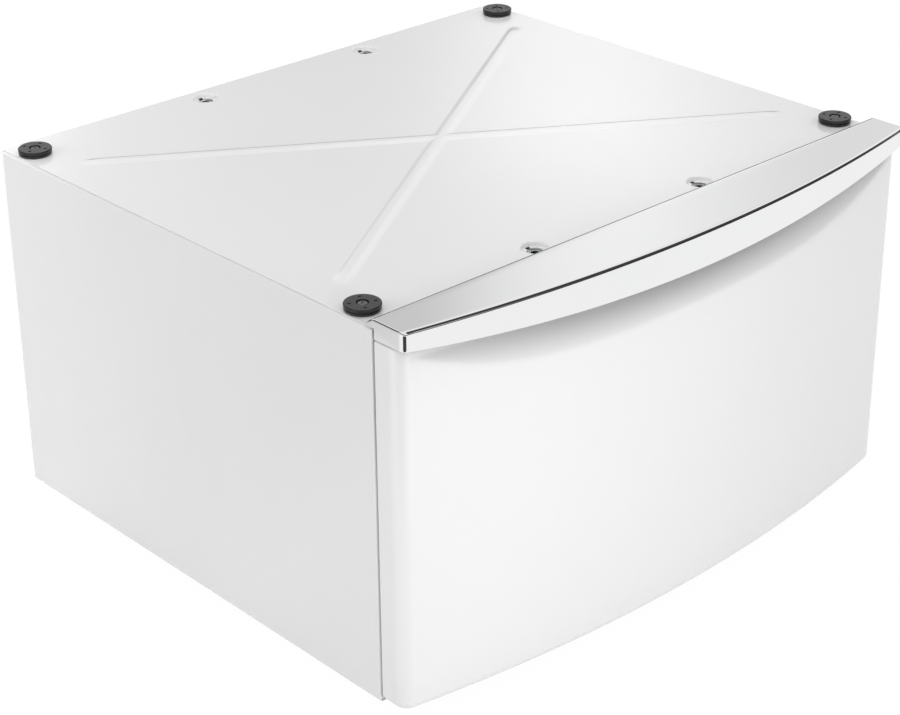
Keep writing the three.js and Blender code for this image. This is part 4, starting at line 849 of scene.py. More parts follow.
def cross_head_screw(tip, seat):
    """A pan-headed screw with a cross recess, head up on the z axis, at the frame's origin."""
    shank, head, rise = SCREW_SHANK, SCREW_HEAD, SCREW_RISE
    profile = [(0.0, tip), (shank * 0.45, tip), (shank, tip + 1.5), (shank, seat), (head, seat),
               (head, seat + rise * 0.42), (head * 0.93, seat + rise * 0.66)]
    shoulder = len(profile)
    profile += [(head * (1 - k / 12), seat + rise * (0.7 + 0.3 * k / 12)) for k in range(2, 12)]
    profile += [(0.0, seat + rise)]
    segments = 48
    points = []
    for angle in round_angles(segments):
        for k, (radius, height) in enumerate(profile):
            x, y = radius * math.cos(angle), radius * math.sin(angle)
            if k > shoulder:
                arm = min(abs(x), abs(y))
                inside = 1 - smoothstep(arm, CROSS_WIDTH - 0.25, CROSS_WIDTH)
                height -= CROSS_DEPTH * inside * (1 - smoothstep(radius, CROSS_ARM - 0.4, CROSS_ARM))
            points.append((x, y - FRONT_Y, height))
    faces = grid_faces(segments, len(profile), closed=True)
    return solid("screw", points, faces, crease=35.0, weld=0.001)


# --------------------------------------------------------------- drawer front

def bowed_face(x, end_depth):
    """y of a bowed face that stands end_depth before the cabinet at its ends."""
    rise = math.sqrt(BOW_RADIUS ** 2 - x * x) - (BOW_RADIUS - FRONT_BOW)
    return -(end_depth + rise)


def front_plan(bow_steps=48, corner_steps=10):
    """Plan outline from the left return round to the right: place and outward direction."""
    centre_y = bowed_face(0, FRONT_END) + BOW_RADIUS
    fillet_x = HALF - FRONT_CORNER
    fillet_y = centre_y - math.sqrt((BOW_RADIUS - FRONT_CORNER) ** 2 - fillet_x ** 2)
    splay = math.atan2(fillet_x, centre_y - fillet_y)
    right = []
    for k in range(bow_steps + 1):
        angle = splay * k / bow_steps
        right.append((BOW_RADIUS * math.sin(angle), centre_y - BOW_RADIUS * math.cos(angle),
                      math.sin(angle), -math.cos(angle)))
    for k in range(1, corner_steps + 1):
        angle = splay + (math.pi / 2 - splay) * k / corner_steps
        right.append((fillet_x + FRONT_CORNER * math.sin(angle),
                      fillet_y - FRONT_CORNER * math.cos(angle), math.sin(angle), -math.cos(angle)))
    right.append((HALF, -DOOR_GAP, 1.0, 0.0))
    return [(-x, y, -nx, ny) for x, y, nx, ny in right[:0:-1]] + right


def scoop(x, z):
    """How far the finger recess sets the face back."""
    share = abs(x) / SCOOP_REACH
    if share >= 1:
        return 0.0
    drop = SCOOP_END_DROP + (SCOOP_DROP - SCOOP_END_DROP) * (1 - share ** 4)
    start = TOP - drop
    full = max(TOP - SCOOP_FULL_DROP, start + 1)
    return SCOOP_DEPTH * (1 - share * share) * smoothstep(z, start, full)


def front_rise():
    """Upright section of the drawer front as (inset from the face, z)."""
    low = FOOT_LEVEL + FRONT_LIFT
    ledge = TOP - LEDGE_DROP
    high = TOP + FRONT_RISE
    fold = folded_line([
        (FRONT_FLANGE, low), (0, low, FRONT_EDGE), (0, ledge, LEDGE_EDGE),
        (LEDGE_INSET, ledge, LEDGE_BEND), (LEDGE_INSET, high, RISE_EDGE), (FRONT_FLANGE, high),
    ], FRONT_EDGE, 8)
    scoop_top = TOP - SCOOP_FULL_DROP
    scoop_low = TOP - SCOOP_DROP - 4
    split = next(i for i, p in enumerate(fold) if p.y > scoop_top)
    start = fold[split - 1].y
    plain = [Vector((0, start + (scoop_low - start) * k / 12)) for k in range(1, 12)]
    steps = 40
    scooped = [Vector((0, scoop_low + (scoop_top - scoop_low) * k / steps)) for k in range(steps + 1)]
    return fold[:split] + plain + scooped + fold[split:]


def front_panel():
    """The drawer front: the bowed plan run up the section, with the scoop and its own wall."""
    plan = front_plan()
    rises = front_rise()
    outer = []
    for rise in rises:
        row = []
        for x, y, nx, ny in plan:
            px, py = x - nx * rise.x, y - ny * rise.x
            row.append(Vector((px, py + scoop(px, rise.y), rise.y)))
        outer.append(row)
    rows, columns = len(rises), len(plan)

    def at(i, j):
        return outer[min(max(i, 0), rows - 1)][min(max(j, 0), columns - 1)]

    inner = []
    for i in range(rows):
        row = []
        for j in range(columns):
            across = at(i, j + 1) - at(i, j - 1)
            up = at(i + 1, j) - at(i - 1, j)
            row.append(outer[i][j] - across.cross(up).normalized() * FRONT_SHEET)
        inner.append(row)
    points = [tuple(p) for row in outer for p in row] + [tuple(p) for row in inner for p in row]
    total = rows * columns
    faces = grid_faces(rows, columns)
    faces += [tuple(total + i for i in face[::-1]) for face in grid_faces(rows, columns)]
    for i in range(rows - 1):
        a, b = i * columns, (i + 1) * columns
        faces.append((a, b, total + b, total + a))
        a, b = a + columns - 1, b + columns - 1
        faces.append((a, total + a, total + b, b))
    last = (rows - 1) * columns
    for j in range(columns - 1):
        faces.append((j, total + j, total + j + 1, j + 1))
        faces.append((last + j, last + j + 1, total + last + j + 1, total + last + j))
    return solid("drawer_front_skin", points, faces, 50.0)


# --------------------------------------------------------------- handle trim

def band_edge(x):
    """z of the handle's lower edge, which curves down in the middle."""
    share = x / HALF
    return TOP - BAND_DROP - BAND_SMILE * (1 - share * share)


def handle_face(x):
    """y of the handle's front, with its upright end corners rounded."""
    reach = abs(x)
    start = HALF - HANDLE_CORNER
    end_depth = FRONT_END + HANDLE_PROUD
    if reach <= start:
        return bowed_face(x, end_depth)
    along = min(reach - start, HANDLE_CORNER)
    centre = bowed_face(start, end_depth) + HANDLE_CORNER
    return centre - math.sqrt(max(HANDLE_CORNER ** 2 - along ** 2, 0.0))


def handle_outer(x):
    """Outline over the handle's outside as (x, y, z), drawn in where the end rounds off."""
    over = max(abs(x) - (HALF - HANDLE_END_EDGE), 0.0)
    shrink = HANDLE_END_EDGE - math.sqrt(max(HANDLE_END_EDGE ** 2 - over ** 2, 0.0))
    face = handle_face(x) + shrink
    top = TOP + HANDLE_RISE - shrink
    lip = TOP + HANDLE_LIP_GAP
    rear = HANDLE_REAR - shrink
    line = [
        (rear + HANDLE_LIP, lip), (rear + HANDLE_LIP * 0.8, lip + 1.9),
        (rear + HANDLE_LIP * 0.5, lip + 4.3), (rear + HANDLE_LIP * 0.26, top - 2.3),
        (rear + 1.0, top - 1.1), (rear - 0.4, top - 0.4), (rear - 2.2, top - 0.12),
    ]
    for k in range(9):
        share = k / 8
        line.append(((HANDLE_REAR - 4.5) * (1 - share) + (face + HANDLE_EDGE + 3) * share, top))
    for k in range(13):
        angle = (math.pi / 2) * (1 - k / 12)
        line.append((face + HANDLE_EDGE * (1 - math.cos(angle)),
                     top - HANDLE_EDGE * (1 - math.sin(angle))))
    low = band_edge(x) + shrink * 0.4
    start = top - HANDLE_EDGE
    line += [(face, start + (low + 0.8 - start) * k / 7) for k in range(1, 8)]
    line += [(face + 0.12, low + 0.35), (face + 0.45, low + 0.08), (face + 0.9, low)]
    return [(x, y, z) for y, z in line]


def handle_inner(x):
    """Outline under the handle's hollow as (x, y, z)."""
    face = handle_face(x)
    ceiling = TOP + HANDLE_RISE - HANDLE_WALL
    line = [(face + HANDLE_WALL, band_edge(x)), (face + HANDLE_WALL, ceiling - 2),
            (face + HANDLE_WALL + 2, ceiling), (HANDLE_REAR - 2, ceiling),
            (HANDLE_REAR + HANDLE_LIP - 2.6, TOP + HANDLE_LIP_GAP)]
    return [(x, y, z) for y, z in line]


def handle_closing(x):
    """The two rear corners of the wall that shuts the handle's hollow at its end."""
    return [(x, -DOOR_GAP + 0.2, band_edge(x)), (x, -DOOR_GAP + 0.2, TOP + HANDLE_LIP_GAP)]


def handle():
    """A hollow rail along the drawer front whose outside runs on over both ends."""
    hollow = HALF - HANDLE_WALL
    straight = HALF - HANDLE_CORNER
    body = [-straight + 2 * straight * k / 96 for k in range(97)]
    bends = [straight + (hollow - straight) * math.sin(math.pi / 2 * k / 6) for k in range(1, 7)]
    body = [-b for b in bends[::-1]] + body + bends
    tip = HALF - HANDLE_END_EDGE
    ends = [tip + HANDLE_END_EDGE * math.sin(math.pi / 2 * k / 8) for k in range(9)]
    skin = [handle_outer(x) for x in body]
    outside, inside = len(skin[0]), len(handle_inner(0))
    ring = outside + inside
    points = [p for x, outer in zip(body, skin) for p in outer + handle_inner(x)]
    faces = grid_faces(len(body), ring, wrap=True)
    for side, base in ((-1, 0), (1, (len(body) - 1) * ring)):
        first = len(points)
        points += handle_closing(side * hollow)
        faces.append(tuple([base + outside - 1, first, first + 1, base]
                           + [base + k for k in range(ring - 1, outside - 1, -1)]))
        before = [base + k for k in range(outside)] + [first, first + 1]
        for x in ends:
            start = len(points)
            points += handle_outer(side * x) + handle_closing(side * x)
            here = [start + k for k in range(outside + 2)]
            for k in range(len(here)):
                n = (k + 1) % len(here)
                faces.append((before[k], before[n], here[n], here[k]))
            before = here
        faces.append(tuple(before))
    return solid("handle_skin", points, faces, crease=32.0)


# ------------------------------------------------------------- feet and nuts

def levelling_foot(name, node):
    """Moulded foot with a threaded stud; the thread is a helix round the stud."""
    middle = middle_of(node)
    segments = 36
    r, h = FOOT_RADIUS, FOOT_HEIGHT
    base = [(0.0, 0.0), (r - 3.2, 0.0), (r - 3.0, 0.5), (r - 2.2, 0.5), (r - 2.0, 0.0), (r - 1.5, 0.0),
            (r - 0.5, 0.5), (r, 1.5), (r, h * 0.52), (r - 0.6, h * 0.6), (r * 0.52, h - 0.6),
            (r * 0.45, h), (STUD_RADIUS, h)]
    threaded = STUD_LENGTH - STUD_TIP - h
    rings = int(threaded / THREAD_PITCH * 5)
    angles = round_angles(segments)
    points = []
    for radius, height in base:
        points += [(radius, angle, height) for angle in angles]
    for k in range(1, rings + 1):
        height = h + threaded * k / rings
        for s, angle in enumerate(angles):
            turn = (height / THREAD_PITCH - s / segments) % 1.0
            depth = THREAD_DEPTH * (1.0 - abs(2 * turn - 1))
            points.append((STUD_RADIUS - depth, angle, height))
    for radius in (STUD_RADIUS - STUD_TIP, 0.0):
        points += [(radius, angle, STUD_LENGTH) for angle in angles]
    places = [(middle.x + r * math.cos(a), middle.y + r * math.sin(a), h) for r, a, h in points]
    return solid(name, places, grid_faces(len(places) // segments, segments, wrap=True),
                 crease=50.0, weld=0.001)


def hexagon_nut(name, node):
    """A hexagon nut whose corners are turned off, with its bore."""
    middle = middle_of(node)
    low = middle.z - NUT_HEIGHT / 2
    corner = NUT_FLATS / math.sqrt(3)
    segments = 72
    points = []
    for angle in round_angles(segments):
        within = (angle % (math.pi / 3)) - math.pi / 6
        flat = NUT_FLATS / 2 / math.cos(within)
        face = min(flat, corner - NUT_FACE_LOSS)
        drop = max(0.0, (flat - (corner - NUT_CHAMFER)) * NUT_CHAMFER_SLOPE)
        ring = [(STUD_RADIUS + 0.25, 0.3), (STUD_RADIUS + 0.7, 0.0), (face - 0.2, 0.0),
                (flat, 0.15 + drop), (flat, NUT_HEIGHT - 0.15 - drop), (face - 0.2, NUT_HEIGHT),
                (STUD_RADIUS + 0.7, NUT_HEIGHT), (STUD_RADIUS + 0.25, NUT_HEIGHT - 0.3)]
        points += [(middle.x + r * math.cos(angle), middle.y + r * math.sin(angle), low + h)
                   for r, h in ring]
    faces = grid_faces(segments, len(ring), wrap=True, closed=True)
    return solid(name, points, faces, crease=28.0)


def rubber_stop(name, node):
    """The bumper that the closed drawer front meets, domed towards it."""
    low, high = box_of(node)
    middle = (low + high) / 2
    radius, thick = (high.x - low.x) / 2, high.y - low.y
    dome = [(radius * math.cos(a), -thick * (0.5 + 0.5 * math.sin(a)))
            for a in (math.pi / 2 * k / 8 for k in range(9))]
    profile = [(0.0, 0.0), (radius, 0.0), *dome]
    return solid(name, *turned(profile, (middle.x, high.y, middle.z), 40), weld=0.001)


# ------------------------------------------------------------- drawer slides

OUTER_CURL = OUTER_BALL + BALL_PLAY + SLIDE_SHEET / 2
INNER_CURL = INNER_BALL + BALL_PLAY + SLIDE_SHEET / 2
BALL_LINE = MIDDLE_WEB + INNER_CURL
OUTER_TOP = SLIDE_HEIGHT / 2 - SLIDE_SHEET / 2
OUTER_LEVEL = OUTER_TOP - OUTER_CURL
MIDDLE_TOP = OUTER_LEVEL - OUTER_BALL - BALL_PLAY - SLIDE_SHEET / 2
INNER_LEVEL = MIDDLE_TOP - INNER_CURL
INNER_TOP = INNER_LEVEL - INNER_BALL - BALL_PLAY - SLIDE_SHEET / 2


def both_flanges(upper):
    """A channel's corners from those of its upper half."""
    return upper + [(u, -v, *own) for u, v, *own in upper[::-1]]


def slide_sections():
    """Corners of the three telescoping members in section, from the slide's named sizes."""
    outer_lip = BALL_LINE + OUTER_CURL
    middle_lip = MIDDLE_WEB + 2 * INNER_CURL
    web = SLIDE_THICK - SLIDE_SHEET / 2
    edge = MIDDLE_WEB + SLIDE_SHEET / 2 + CAGE_SHEET + 2 * GAP
    bend, curl = SLIDE_SHEET * 1.2, INNER_CURL * 0.999
    return {
        "slide_outer": both_flanges([
            (outer_lip, OUTER_LEVEL - SLIDE_SHEET / 2), (outer_lip, OUTER_TOP, OUTER_CURL),
            (SLIDE_SHEET / 2, OUTER_TOP, bend)]),
        "slide_middle": both_flanges([
            (middle_lip, INNER_LEVEL - INNER_CURL * 0.35), (middle_lip, MIDDLE_TOP, curl),
            (MIDDLE_WEB, MIDDLE_TOP, curl)]),
        "slide_inner": both_flanges([(edge, INNER_TOP), (web, INNER_TOP, bend)]),
    }


def at_slide(side):
    """Turns a slide's (u, v) and the length along it into cabinet places."""
    low, high = box_of(f"slide_outer_{side}")
    face = abs(low.x) if side == "left" else abs(high.x)
    level = (low.z + high.z) / 2
    sign = -1 if side == "left" else 1
    return lambda u, v, w: (sign * (face - u), w, level + v)


def slide_member(kind, side, section):
    """One rolled member, as long as its CAD node."""
    low, high = box_of(f"{kind}_{side}")
    member = run_sheet(section, SLIDE_SHEET, SLIDE_SHEET, at_slide(side), low.y, high.y, 10)
    if kind == "slide_inner":
        member = merged(member, lever_pin(side))
    return solid(f"{kind}_rail_{side}", *member)


def lever_pin(side):
    """The riveted pin, on the drawer member, that the finger lever turns on."""
    place = at_slide(side)
    _, high = box_of(f"release_lever_{side}")
    pivot = high.y - LEVER_PIN_BACK
    near = MIDDLE_WEB + SLIDE_SHEET / 2 + CAGE_SHEET + 4 * GAP
    outline = [(near, 0.0), (near, LEVER_PIN - 0.5), (near + 0.4, LEVER_PIN),
               (SLIDE_THICK, LEVER_PIN), (SLIDE_THICK, 0.0)]
    segments = 24
    points = []
    for angle in round_angles(segments):
        points += [place(u, radius * math.cos(angle), pivot + radius * math.sin(angle))
                   for u, radius in outline]
    return points, grid_faces(segments, len(outline), closed=True)


# Each cage: u of its web, ball radius, level of its ball rows and of its flanges
CAGES = {
    "outer_ball_cage": (SLIDE_SHEET + GAP + CAGE_SHEET / 2, OUTER_BALL, OUTER_LEVEL,
                        MIDDLE_TOP + SLIDE_SHEET / 2 + GAP + CAGE_SHEET / 2),
    "inner_ball_cage": (MIDDLE_WEB + SLIDE_SHEET / 2 + GAP + CAGE_SHEET / 2, INNER_BALL, INNER_LEVEL,
                        INNER_TOP + SLIDE_SHEET / 2 + GAP + CAGE_SHEET / 2),
}


def ball_cage(kind, side):
    """The retainer strip and, from its node tree, the balls in its two flanges."""
    web, ball, level, flange = CAGES[kind]
    low, high = box_of(f"{kind}_{side}")
    place = at_slide(side)
    tip = BALL_LINE + ball - BALL_PLAY
    section = [(tip, flange), (web, flange), (web, -flange), (tip, -flange)]
    strip = run_sheet(section, CAGE_SHEET, CAGE_SHEET * 0.4, place, low.y, high.y, 4)
    middle = place(BALL_LINE, 0.0, (low.y + high.y) / 2)
    length = (high.y - low.y) * (1 - 1 / BALLS_IN_ROW)
    balls = grown(f"{kind}_balls_{side}", [middle], BALL_ROWS, balls_in_a_row=BALLS_IN_ROW,
                  row_length=length * MM, half_row_gap=level * MM, ball_radius=ball * MM,
                  finish=BALL_STEEL)
    return solid(f"{kind}_strip_{side}", *strip), balls


# ---------------------------------------------------------------- drawer box

def box_wall(side):
    """Side wall with its hem, bottom fold and front tab, drawn for the left."""
    t = BOX_SHEET / 2
    low, high = box_of("drawer_wall_left")
    wall = low.x + t
    front = -DOOR_GAP + GAP
    radius = BEND - t
    section = [(wall + BOX_HEM, BOX_TOP - BOX_HEM_DROP), (wall + BOX_HEM, BOX_TOP - t),
               (wall, BOX_TOP - t), (wall, BOX_BOTTOM + t), (wall + BOX_FOLD, BOX_BOTTOM + t)]
    tab = [(wall + BOX_TAB, front + t), (wall, front + t), (wall, front + BEND)]
    shell = merged(
        run_sheet(section, BOX_SHEET, radius, along_y, front + BEND, high.y),
        run_sheet(tab, BOX_SHEET, radius - BEND_EASE, along_z, BOX_BOTTOM + BOX_FOLD + BEND,
                  BOX_TOP - BOX_HEM_DROP - BEND),
    )
    name = f"drawer_wall_skin_{side}"
    return solid(name, *(shell if side == "left" else mirrored(shell)))


def box_bottom():
    """The box's floor, turned up at the front and the rear."""
    t = BOX_SHEET / 2
    low, high = box_of("drawer_bottom")
    level = low.z + t
    section = [(low.y + t, high.z - GAP), (low.y + t, level), (high.y - t, level), (high.y - t, high.z)]
    return solid("drawer_bottom_skin", *run_sheet(section, BOX_SHEET, BEND - t, along_x, low.x, high.x))


# -------------------------------------------------------------- build pieces

CORNERS = ("front_left", "front_right", "rear_left", "rear_right")
SIDES = ("left", "right")


def build_cabinet():
    finish_piece(top_sheet(), CABINET_WHITE, "cabinet", "top_panel")
    finish_piece(top_lips(), CABINET_WHITE, "cabinet")
    finish_piece(side_panel(-1), CABINET_WHITE, "cabinet", "side_panel_left")
    finish_piece(side_panel(1), CABINET_WHITE, "cabinet", "side_panel_right")
    for name, upper in (("front_top_rail", TOP_RAIL_FLANGE), ("front_base_rail", RAIL_FLANGE)):
        low, high = box_of(name)
        rail = front_rail(f"{name}_sheet", low.z, high.z, upper)
        finish_piece(rail, ZINC, "cabinet", name)
    for corner in CORNERS:
        pad = f"corner_pad_{corner}"
        finish_piece(corner_pad(corner), PAD_RUBBER, "cabinet", pad)
        nut = hexagon_nut(f"lock_nut_{corner}", f"foot_lock_nut_{corner}")
        finish_piece(nut, ZINC, "cabinet", f"foot_lock_nut_{corner}")
        foot = f"levelling_foot_{corner}"
        finish_piece(levelling_foot(f"foot_{corner}", foot), FOOT_PLASTIC, f"{foot}_body", foot)
    for side in SIDES:
        stop = f"drawer_bumper_{side}"
        finish_piece(rubber_stop(f"front_stop_{side}", stop), PAD_RUBBER, "cabinet", stop)
    screws_of_pads()
    weld_prints()


def screws_of_pads():
    """The pads' four screws, one modelled screw set on every pad."""
    low, _ = box_of("pad_screw_front_left")
    pad_low, _ = box_of("corner_pad_front_left")
    seat = pad_low.z + PAD_HEIGHT - PAD_RECESS_DEPTH + GAP
    model = cross_head_screw(low.z, seat)
    places = [middle_of(f"pad_screw_{corner}") for corner in CORNERS]
    screws = grown("pad_screws", [(p.x, p.y, 0) for p in places], COPIES, piece=model, size=1.0,
                   turn=math.radians(SCREW_TURN), finish=SCREW_STEEL)
    bpy.data.objects.remove(model)
    finish_piece(screws, SCREW_STEEL, "cabinet", *(f"pad_screw_{corner}" for corner in CORNERS))


def weld_prints():
    """Spot welds that join the side panels' front folds to both front rails."""
    model = weld_dimple()
    reach = HALF - FRONT_FOLD / 2
    places = [(side * reach, 0.0, level) for side in (-1, 1) for level in WELD_LEVELS]
    prints = grown("weld_prints", places, COPIES, piece=model, size=1.0, turn=0.0, finish=CABINET_WHITE)
    bpy.data.objects.remove(model)
    finish_piece(prints, CABINET_WHITE, "cabinet")


def build_slides():
    """Both slides: three members a side, and two cages with their balls."""
    for side in SIDES:
        for kind, section in slide_sections().items():
            node = f"{kind}_{side}"
            finish_piece(slide_member(kind, side, section), SLIDE_STEEL, body_of(node), node)
        for kind in CAGES:
            node = f"{kind}_{side}"
            strip, balls = ball_cage(kind, side)
            finish_piece(strip, BALL_STEEL, body_of(node), node)
            finish_piece(balls, BALL_STEEL, body_of(node))


def body_of(node):
    """The moving body that the record puts a node on."""
    for body, members in frame["record"]["behaviour"]["bodies"].items():
        if node in members:
            return body
    raise KeyError(node)


def build_drawer():
    finish_piece(front_panel(), FRONT_WHITE, "drawer", "drawer_front_panel")
    finish_piece(handle(), HANDLE_CHROME, "drawer", "handle_trim")
    for side in SIDES:
        finish_piece(box_wall(side), BOX_WHITE, "drawer", f"drawer_wall_{side}")
    finish_piece(box_bottom(), BOX_WHITE, "drawer", "drawer_bottom")


def dress_cad_nodes():
    """Gives every CAD node the finish of its material slot."""
    looks = {
        "white_paint": CABINET_WHITE, "white_front": FRONT_WHITE, "bright_trim": HANDLE_CHROME,
        "zinc": ZINC, "slide_steel": SLIDE_STEEL, "ball_steel": BALL_STEEL,
        "black_rubber": PAD_RUBBER, "black_plastic": FOOT_PLASTIC,
    }
    slots = {part["node"]: part["material_slot"] for part in frame["record"]["subparts"]}
    for name, node in frame["nodes"].items():
        look = looks[slots[name]]
        if name.startswith(("drawer_wall", "drawer_bottom", "drawer_rear", "drawer_inner")):
            look = BOX_WHITE
        if not node.material_slots:
            node.data.materials.append(look)
        for slot in node.material_slots:
            slot.material = look


# ------------------------------------------------------- floor, light, camera

VIEW_AZIMUTH = -42.815
VIEW_ELEVATION = 25.643
VIEW_ROLL = -0.45
VIEW_PLACE = (-1431.49, -1272.05, TOP + 819.76)
VIEW_FOCUS = 2214.42
PICTURE_WIDTH = 900
PICTURE_MIDDLE = 357.5
OPTICAL_ROW = 310.0

# Level directions, as the camera sees them
BEHIND = (0.68, 0.73, 0.0)
LEFT = (-0.68, 0.73, 0.0)
ASIDE = (0.7336, -0.6796, 0.0)

# Floor: the camera sees it white, and bright metal mirrors it with a dark round carpet in
# front of the cabinet's left corner, duller to the left; places and radius in metres
FLOOR_REACH = 9000.0
FLOOR_GREY = (0.7, 0.7, 0.7, 1)
FLOOR_SEEN = 1.02
FLOOR_GLOW_SHARE = 0.96
LEFT_FLOOR = 0.66
LEFT_FLOOR_FROM = 0.7
LEFT_FLOOR_TO = 0.95
CARPET_MIDDLE = (-1.0, -0.98, 0.0)
CARPET_RADIUS = 0.52
CARPET_BLUR = 0.05
CARPET_DARK = 0.03

# Studio: heights on the walls are sines of the elevation
SKY_LEVEL = 0.59
MIRRORED_SKY = 1.0
MIRRORED_WALL = 0.05
WALL_TOP = 0.3
WALL_BLUR = 0.08
WALL_LOWER_BEHIND = 0.14
# Dark cards over the studio: direction of the middle, and cosine at the edge
DARK_CARDS = [((0.61, -0.45, 0.64), 0.86), ((-0.41, 0.66, 0.66), 0.93)]
CARD_BLUR = 0.03
# Bright and dull stretches of the ceiling from left to right: place and brightness
STRIPES = [
    (0.30, 1.0), (0.35, 0.96), (0.42, 0.58), (0.49, 0.62), (0.52, 0.86), (0.56, 1.0),
    (0.60, 0.95), (0.66, 0.7), (0.75, 1.0),
]
STRIPES_WIDTH = 1.2


def backdrop():
    """A pale floor that runs out of sight; the camera sees it as white."""
    corners = [(x * FLOOR_REACH, y * FLOOR_REACH, 0) for x, y in ((-1, -1), (1, -1), (1, 1), (-1, 1))]
    floor = solid("floor", corners, [(0, 1, 2, 3)])
    if floor.data.polygons[0].normal.z < 0:
        floor.data.flip_normals()
    material = bpy.data.materials.new("floor_white")
    material.use_nodes = True
    tree = material.node_tree
    shader = tree.nodes["Principled BSDF"]
    shader.inputs["Base Color"].default_value = FLOOR_GREY
    shader.inputs["Roughness"].default_value = 0.9
    rays = add(tree, "ShaderNodeLightPath").outputs
    place = add(tree, "ShaderNodeTexCoord").outputs["Object"]
    off_carpet = measured(tree, "DISTANCE", place, CARPET_MIDDLE)
    carpet = ranged(tree, off_carpet, CARPET_RADIUS - CARPET_BLUR, CARPET_RADIUS + CARPET_BLUR,
                    CARPET_DARK, 1.0)
    leftness = measured(tree, "DOT_PRODUCT", direction(tree, place), LEFT)
    duller = ranged(tree, leftness, LEFT_FLOOR_FROM, LEFT_FLOOR_TO, 1.0, LEFT_FLOOR)
    mirrored = number(tree, "MULTIPLY", carpet, duller)
    strength = mixed(tree, "FLOAT", rays["Is Camera Ray"], mirrored, FLOOR_SEEN)
    glow = add(tree, "ShaderNodeEmission", {"Color": WHITE, "Strength": strength})
    either = number(tree, "MAXIMUM", rays["Is Camera Ray"], rays["Is Glossy Ray"])
    mix = add(tree, "ShaderNodeMixShader", {
        "Fac": number(tree, "MULTIPLY", either, FLOOR_GLOW_SHARE),
        1: shader.outputs["BSDF"], 2: glow.outputs["Emission"],
    })
    tree.links.new(mix.outputs["Shader"], tree.nodes["Material Output"].inputs["Surface"])
    floor.data.materials.append(material)


def studio_in_metal(tree):
    """Brightness of what bright metal mirrors: a white ceiling with dull stretches and two
    dark cards, over the low dark walls of a studio."""
    way = add(tree, "ShaderNodeTexCoord").outputs["Generated"]
    parts = add(tree, "ShaderNodeSeparateXYZ", {"Vector": way}).outputs
    behind = number(tree, "MAXIMUM", measured(tree, "DOT_PRODUCT", way, BEHIND), 0.0)
    lower = number(tree, "MULTIPLY", behind, WALL_LOWER_BEHIND)
    height = number(tree, "ADD", number(tree, "SUBTRACT", parts["Z"], WALL_TOP), lower)
    mirrored = ranged(tree, height, -WALL_BLUR, WALL_BLUR, MIRRORED_WALL, MIRRORED_SKY, "SMOOTHSTEP")
    for middle, edge in DARK_CARDS:
        toward = measured(tree, "DOT_PRODUCT", way, Vector(middle).normalized())
        card = ranged(tree, toward, edge - CARD_BLUR, edge + CARD_BLUR, 1.0, MIRRORED_WALL,
                      "SMOOTHSTEP")
        mirrored = number(tree, "MULTIPLY", mirrored, card)
    level = add(tree, "ShaderNodeCombineXYZ", {"X": parts["X"], "Y": parts["Y"]}).outputs["Vector"]
    aside = measured(tree, "DOT_PRODUCT", direction(tree, level), ASIDE)
    place = number(tree, "ADD", number(tree, "DIVIDE", aside, STRIPES_WIDTH), 0.5)
    stripes = add(tree, "ShaderNodeValToRGB", {"Fac": place})
    stripes.color_ramp.interpolation = "B_SPLINE"
    ramp = stripes.color_ramp.elements
    while len(ramp) < len(STRIPES):
        ramp.new(0.5)
    for element, (stop, bright) in zip(ramp, STRIPES):
        element.position = stop
        element.color = (bright, bright, bright, 1)
    return number(tree, "MULTIPLY", mirrored, stripes.outputs["Color"])


def sky():
    """White for the camera, even light for the object, and the studio in bright metal."""
    world = bpy.data.worlds.new("studio")
    bpy.context.scene.world = world
    world.use_nodes = True
    tree = world.node_tree
    tree.nodes.clear()
    rays = add(tree, "ShaderNodeLightPath").outputs
    even, mirrored, seen = (
        add(tree, "ShaderNodeBackground", {"Color": WHITE, "Strength": strength}).outputs["Background"]
        for strength in (SKY_LEVEL, studio_in_metal(tree), 1.0)
    )
    polished = add(tree, "ShaderNodeMixShader", {"Fac": rays["Is Glossy Ray"], 1: even, 2: mirrored})
    straight = number(tree, "MAXIMUM", rays["Is Camera Ray"], rays["Is Transmission Ray"])
    final = add(tree, "ShaderNodeMixShader", {"Fac": straight, 1: polished.outputs["Shader"], 2: seen})
    add(tree, "ShaderNodeOutputWorld", {"Surface": final.outputs["Shader"]})


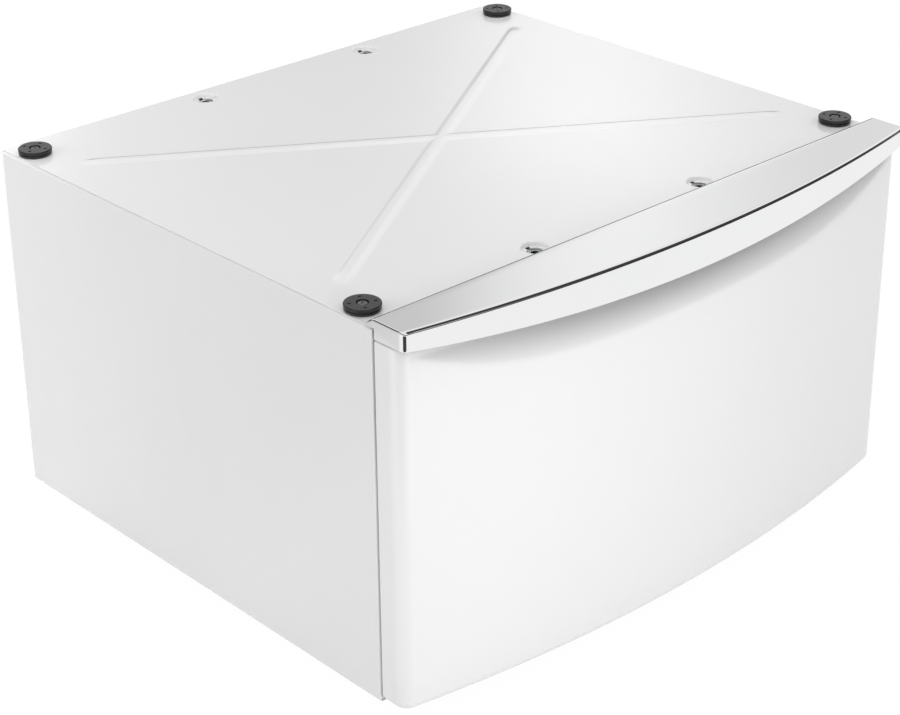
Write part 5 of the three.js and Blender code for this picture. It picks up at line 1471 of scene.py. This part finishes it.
# Each lamp: place, what it points at, its width and length, its power and its beam in degrees
LAMPS = {
    "front_left": ((-0.55, -1.6, 0.6), (-0.25, -0.32, 0.2), (0.5, 0.5), 2.2, 90),
    "right": ((2.4, -1.2, 1.4), (0, 0, 0.2), (1.4, 1.4), 11.8, 180),
    "side": ((-1.6, 0.9, 0.7), (-0.34, 0.2, 0.25), (0.8, 0.8), 5.1, 140),
    "overhead": ((0.0, 0.1, 2.2), (0, 0.05, 0.39), (1.6, 1.6), 10.2, 180),
    "corner_band": ((-0.4, 0.4, 1.2), (-0.4, 0.4, 0.39), (0.1, 0.8), 0.3, 26),
    "right_band": ((0.3, 0.15, 1.2), (0.3, 0.15, 0.39), (0.1, 0.8), 0.1, 30),
}
BAND_TURN = -42.8


def lamp(name, place, target, size, power, beam):
    """A soft panel without a mirror image; a band lamp hangs level, turned along the view."""
    data = bpy.data.lights.new(name, "AREA")
    data.shape = "RECTANGLE"
    data.size, data.size_y = size
    data.energy = power
    data.spread = math.radians(beam)
    thing = linked(name, data)
    thing.location = place
    if name.endswith("_band"):
        thing.rotation_euler = (0, 0, math.radians(BAND_TURN))
    else:
        aim = Vector(target) - Vector(place)
        thing.rotation_euler = aim.to_track_quat("-Z", "Y").to_euler()
    thing.visible_glossy = False


def camera():
    """Left of the front and above, level but for a slight roll."""
    azimuth, elevation, roll = (math.radians(a) for a in (VIEW_AZIMUTH, VIEW_ELEVATION, VIEW_ROLL))
    back = Vector((math.sin(azimuth) * math.cos(elevation),
                   -math.cos(azimuth) * math.cos(elevation), math.sin(elevation)))
    right = Vector((0, 0, 1)).cross(back).normalized()
    up = back.cross(right)
    right_rolled = right * math.cos(roll) + up * math.sin(roll)
    up_rolled = up * math.cos(roll) - right * math.sin(roll)
    data = bpy.data.cameras.new("view")
    data.sensor_width = 36.0
    data.lens = VIEW_FOCUS / PICTURE_WIDTH * data.sensor_width
    data.shift_y = (OPTICAL_ROW - PICTURE_MIDDLE) / PICTURE_WIDTH
    data.clip_end = 50.0
    thing = linked("view", data)
    turn = Matrix((right_rolled, up_rolled, back)).transposed().to_4x4()
    thing.matrix_world = Matrix.Translation(in_frame(VIEW_PLACE)) @ turn
    bpy.context.scene.camera = thing


build_cabinet()
build_slides()
build_drawer()
dress_cad_nodes()
backdrop()
sky()
for lamp_name, settings in LAMPS.items():
    lamp(lamp_name, *settings)
camera()
bpy.context.scene.view_settings.view_transform = "Standard"
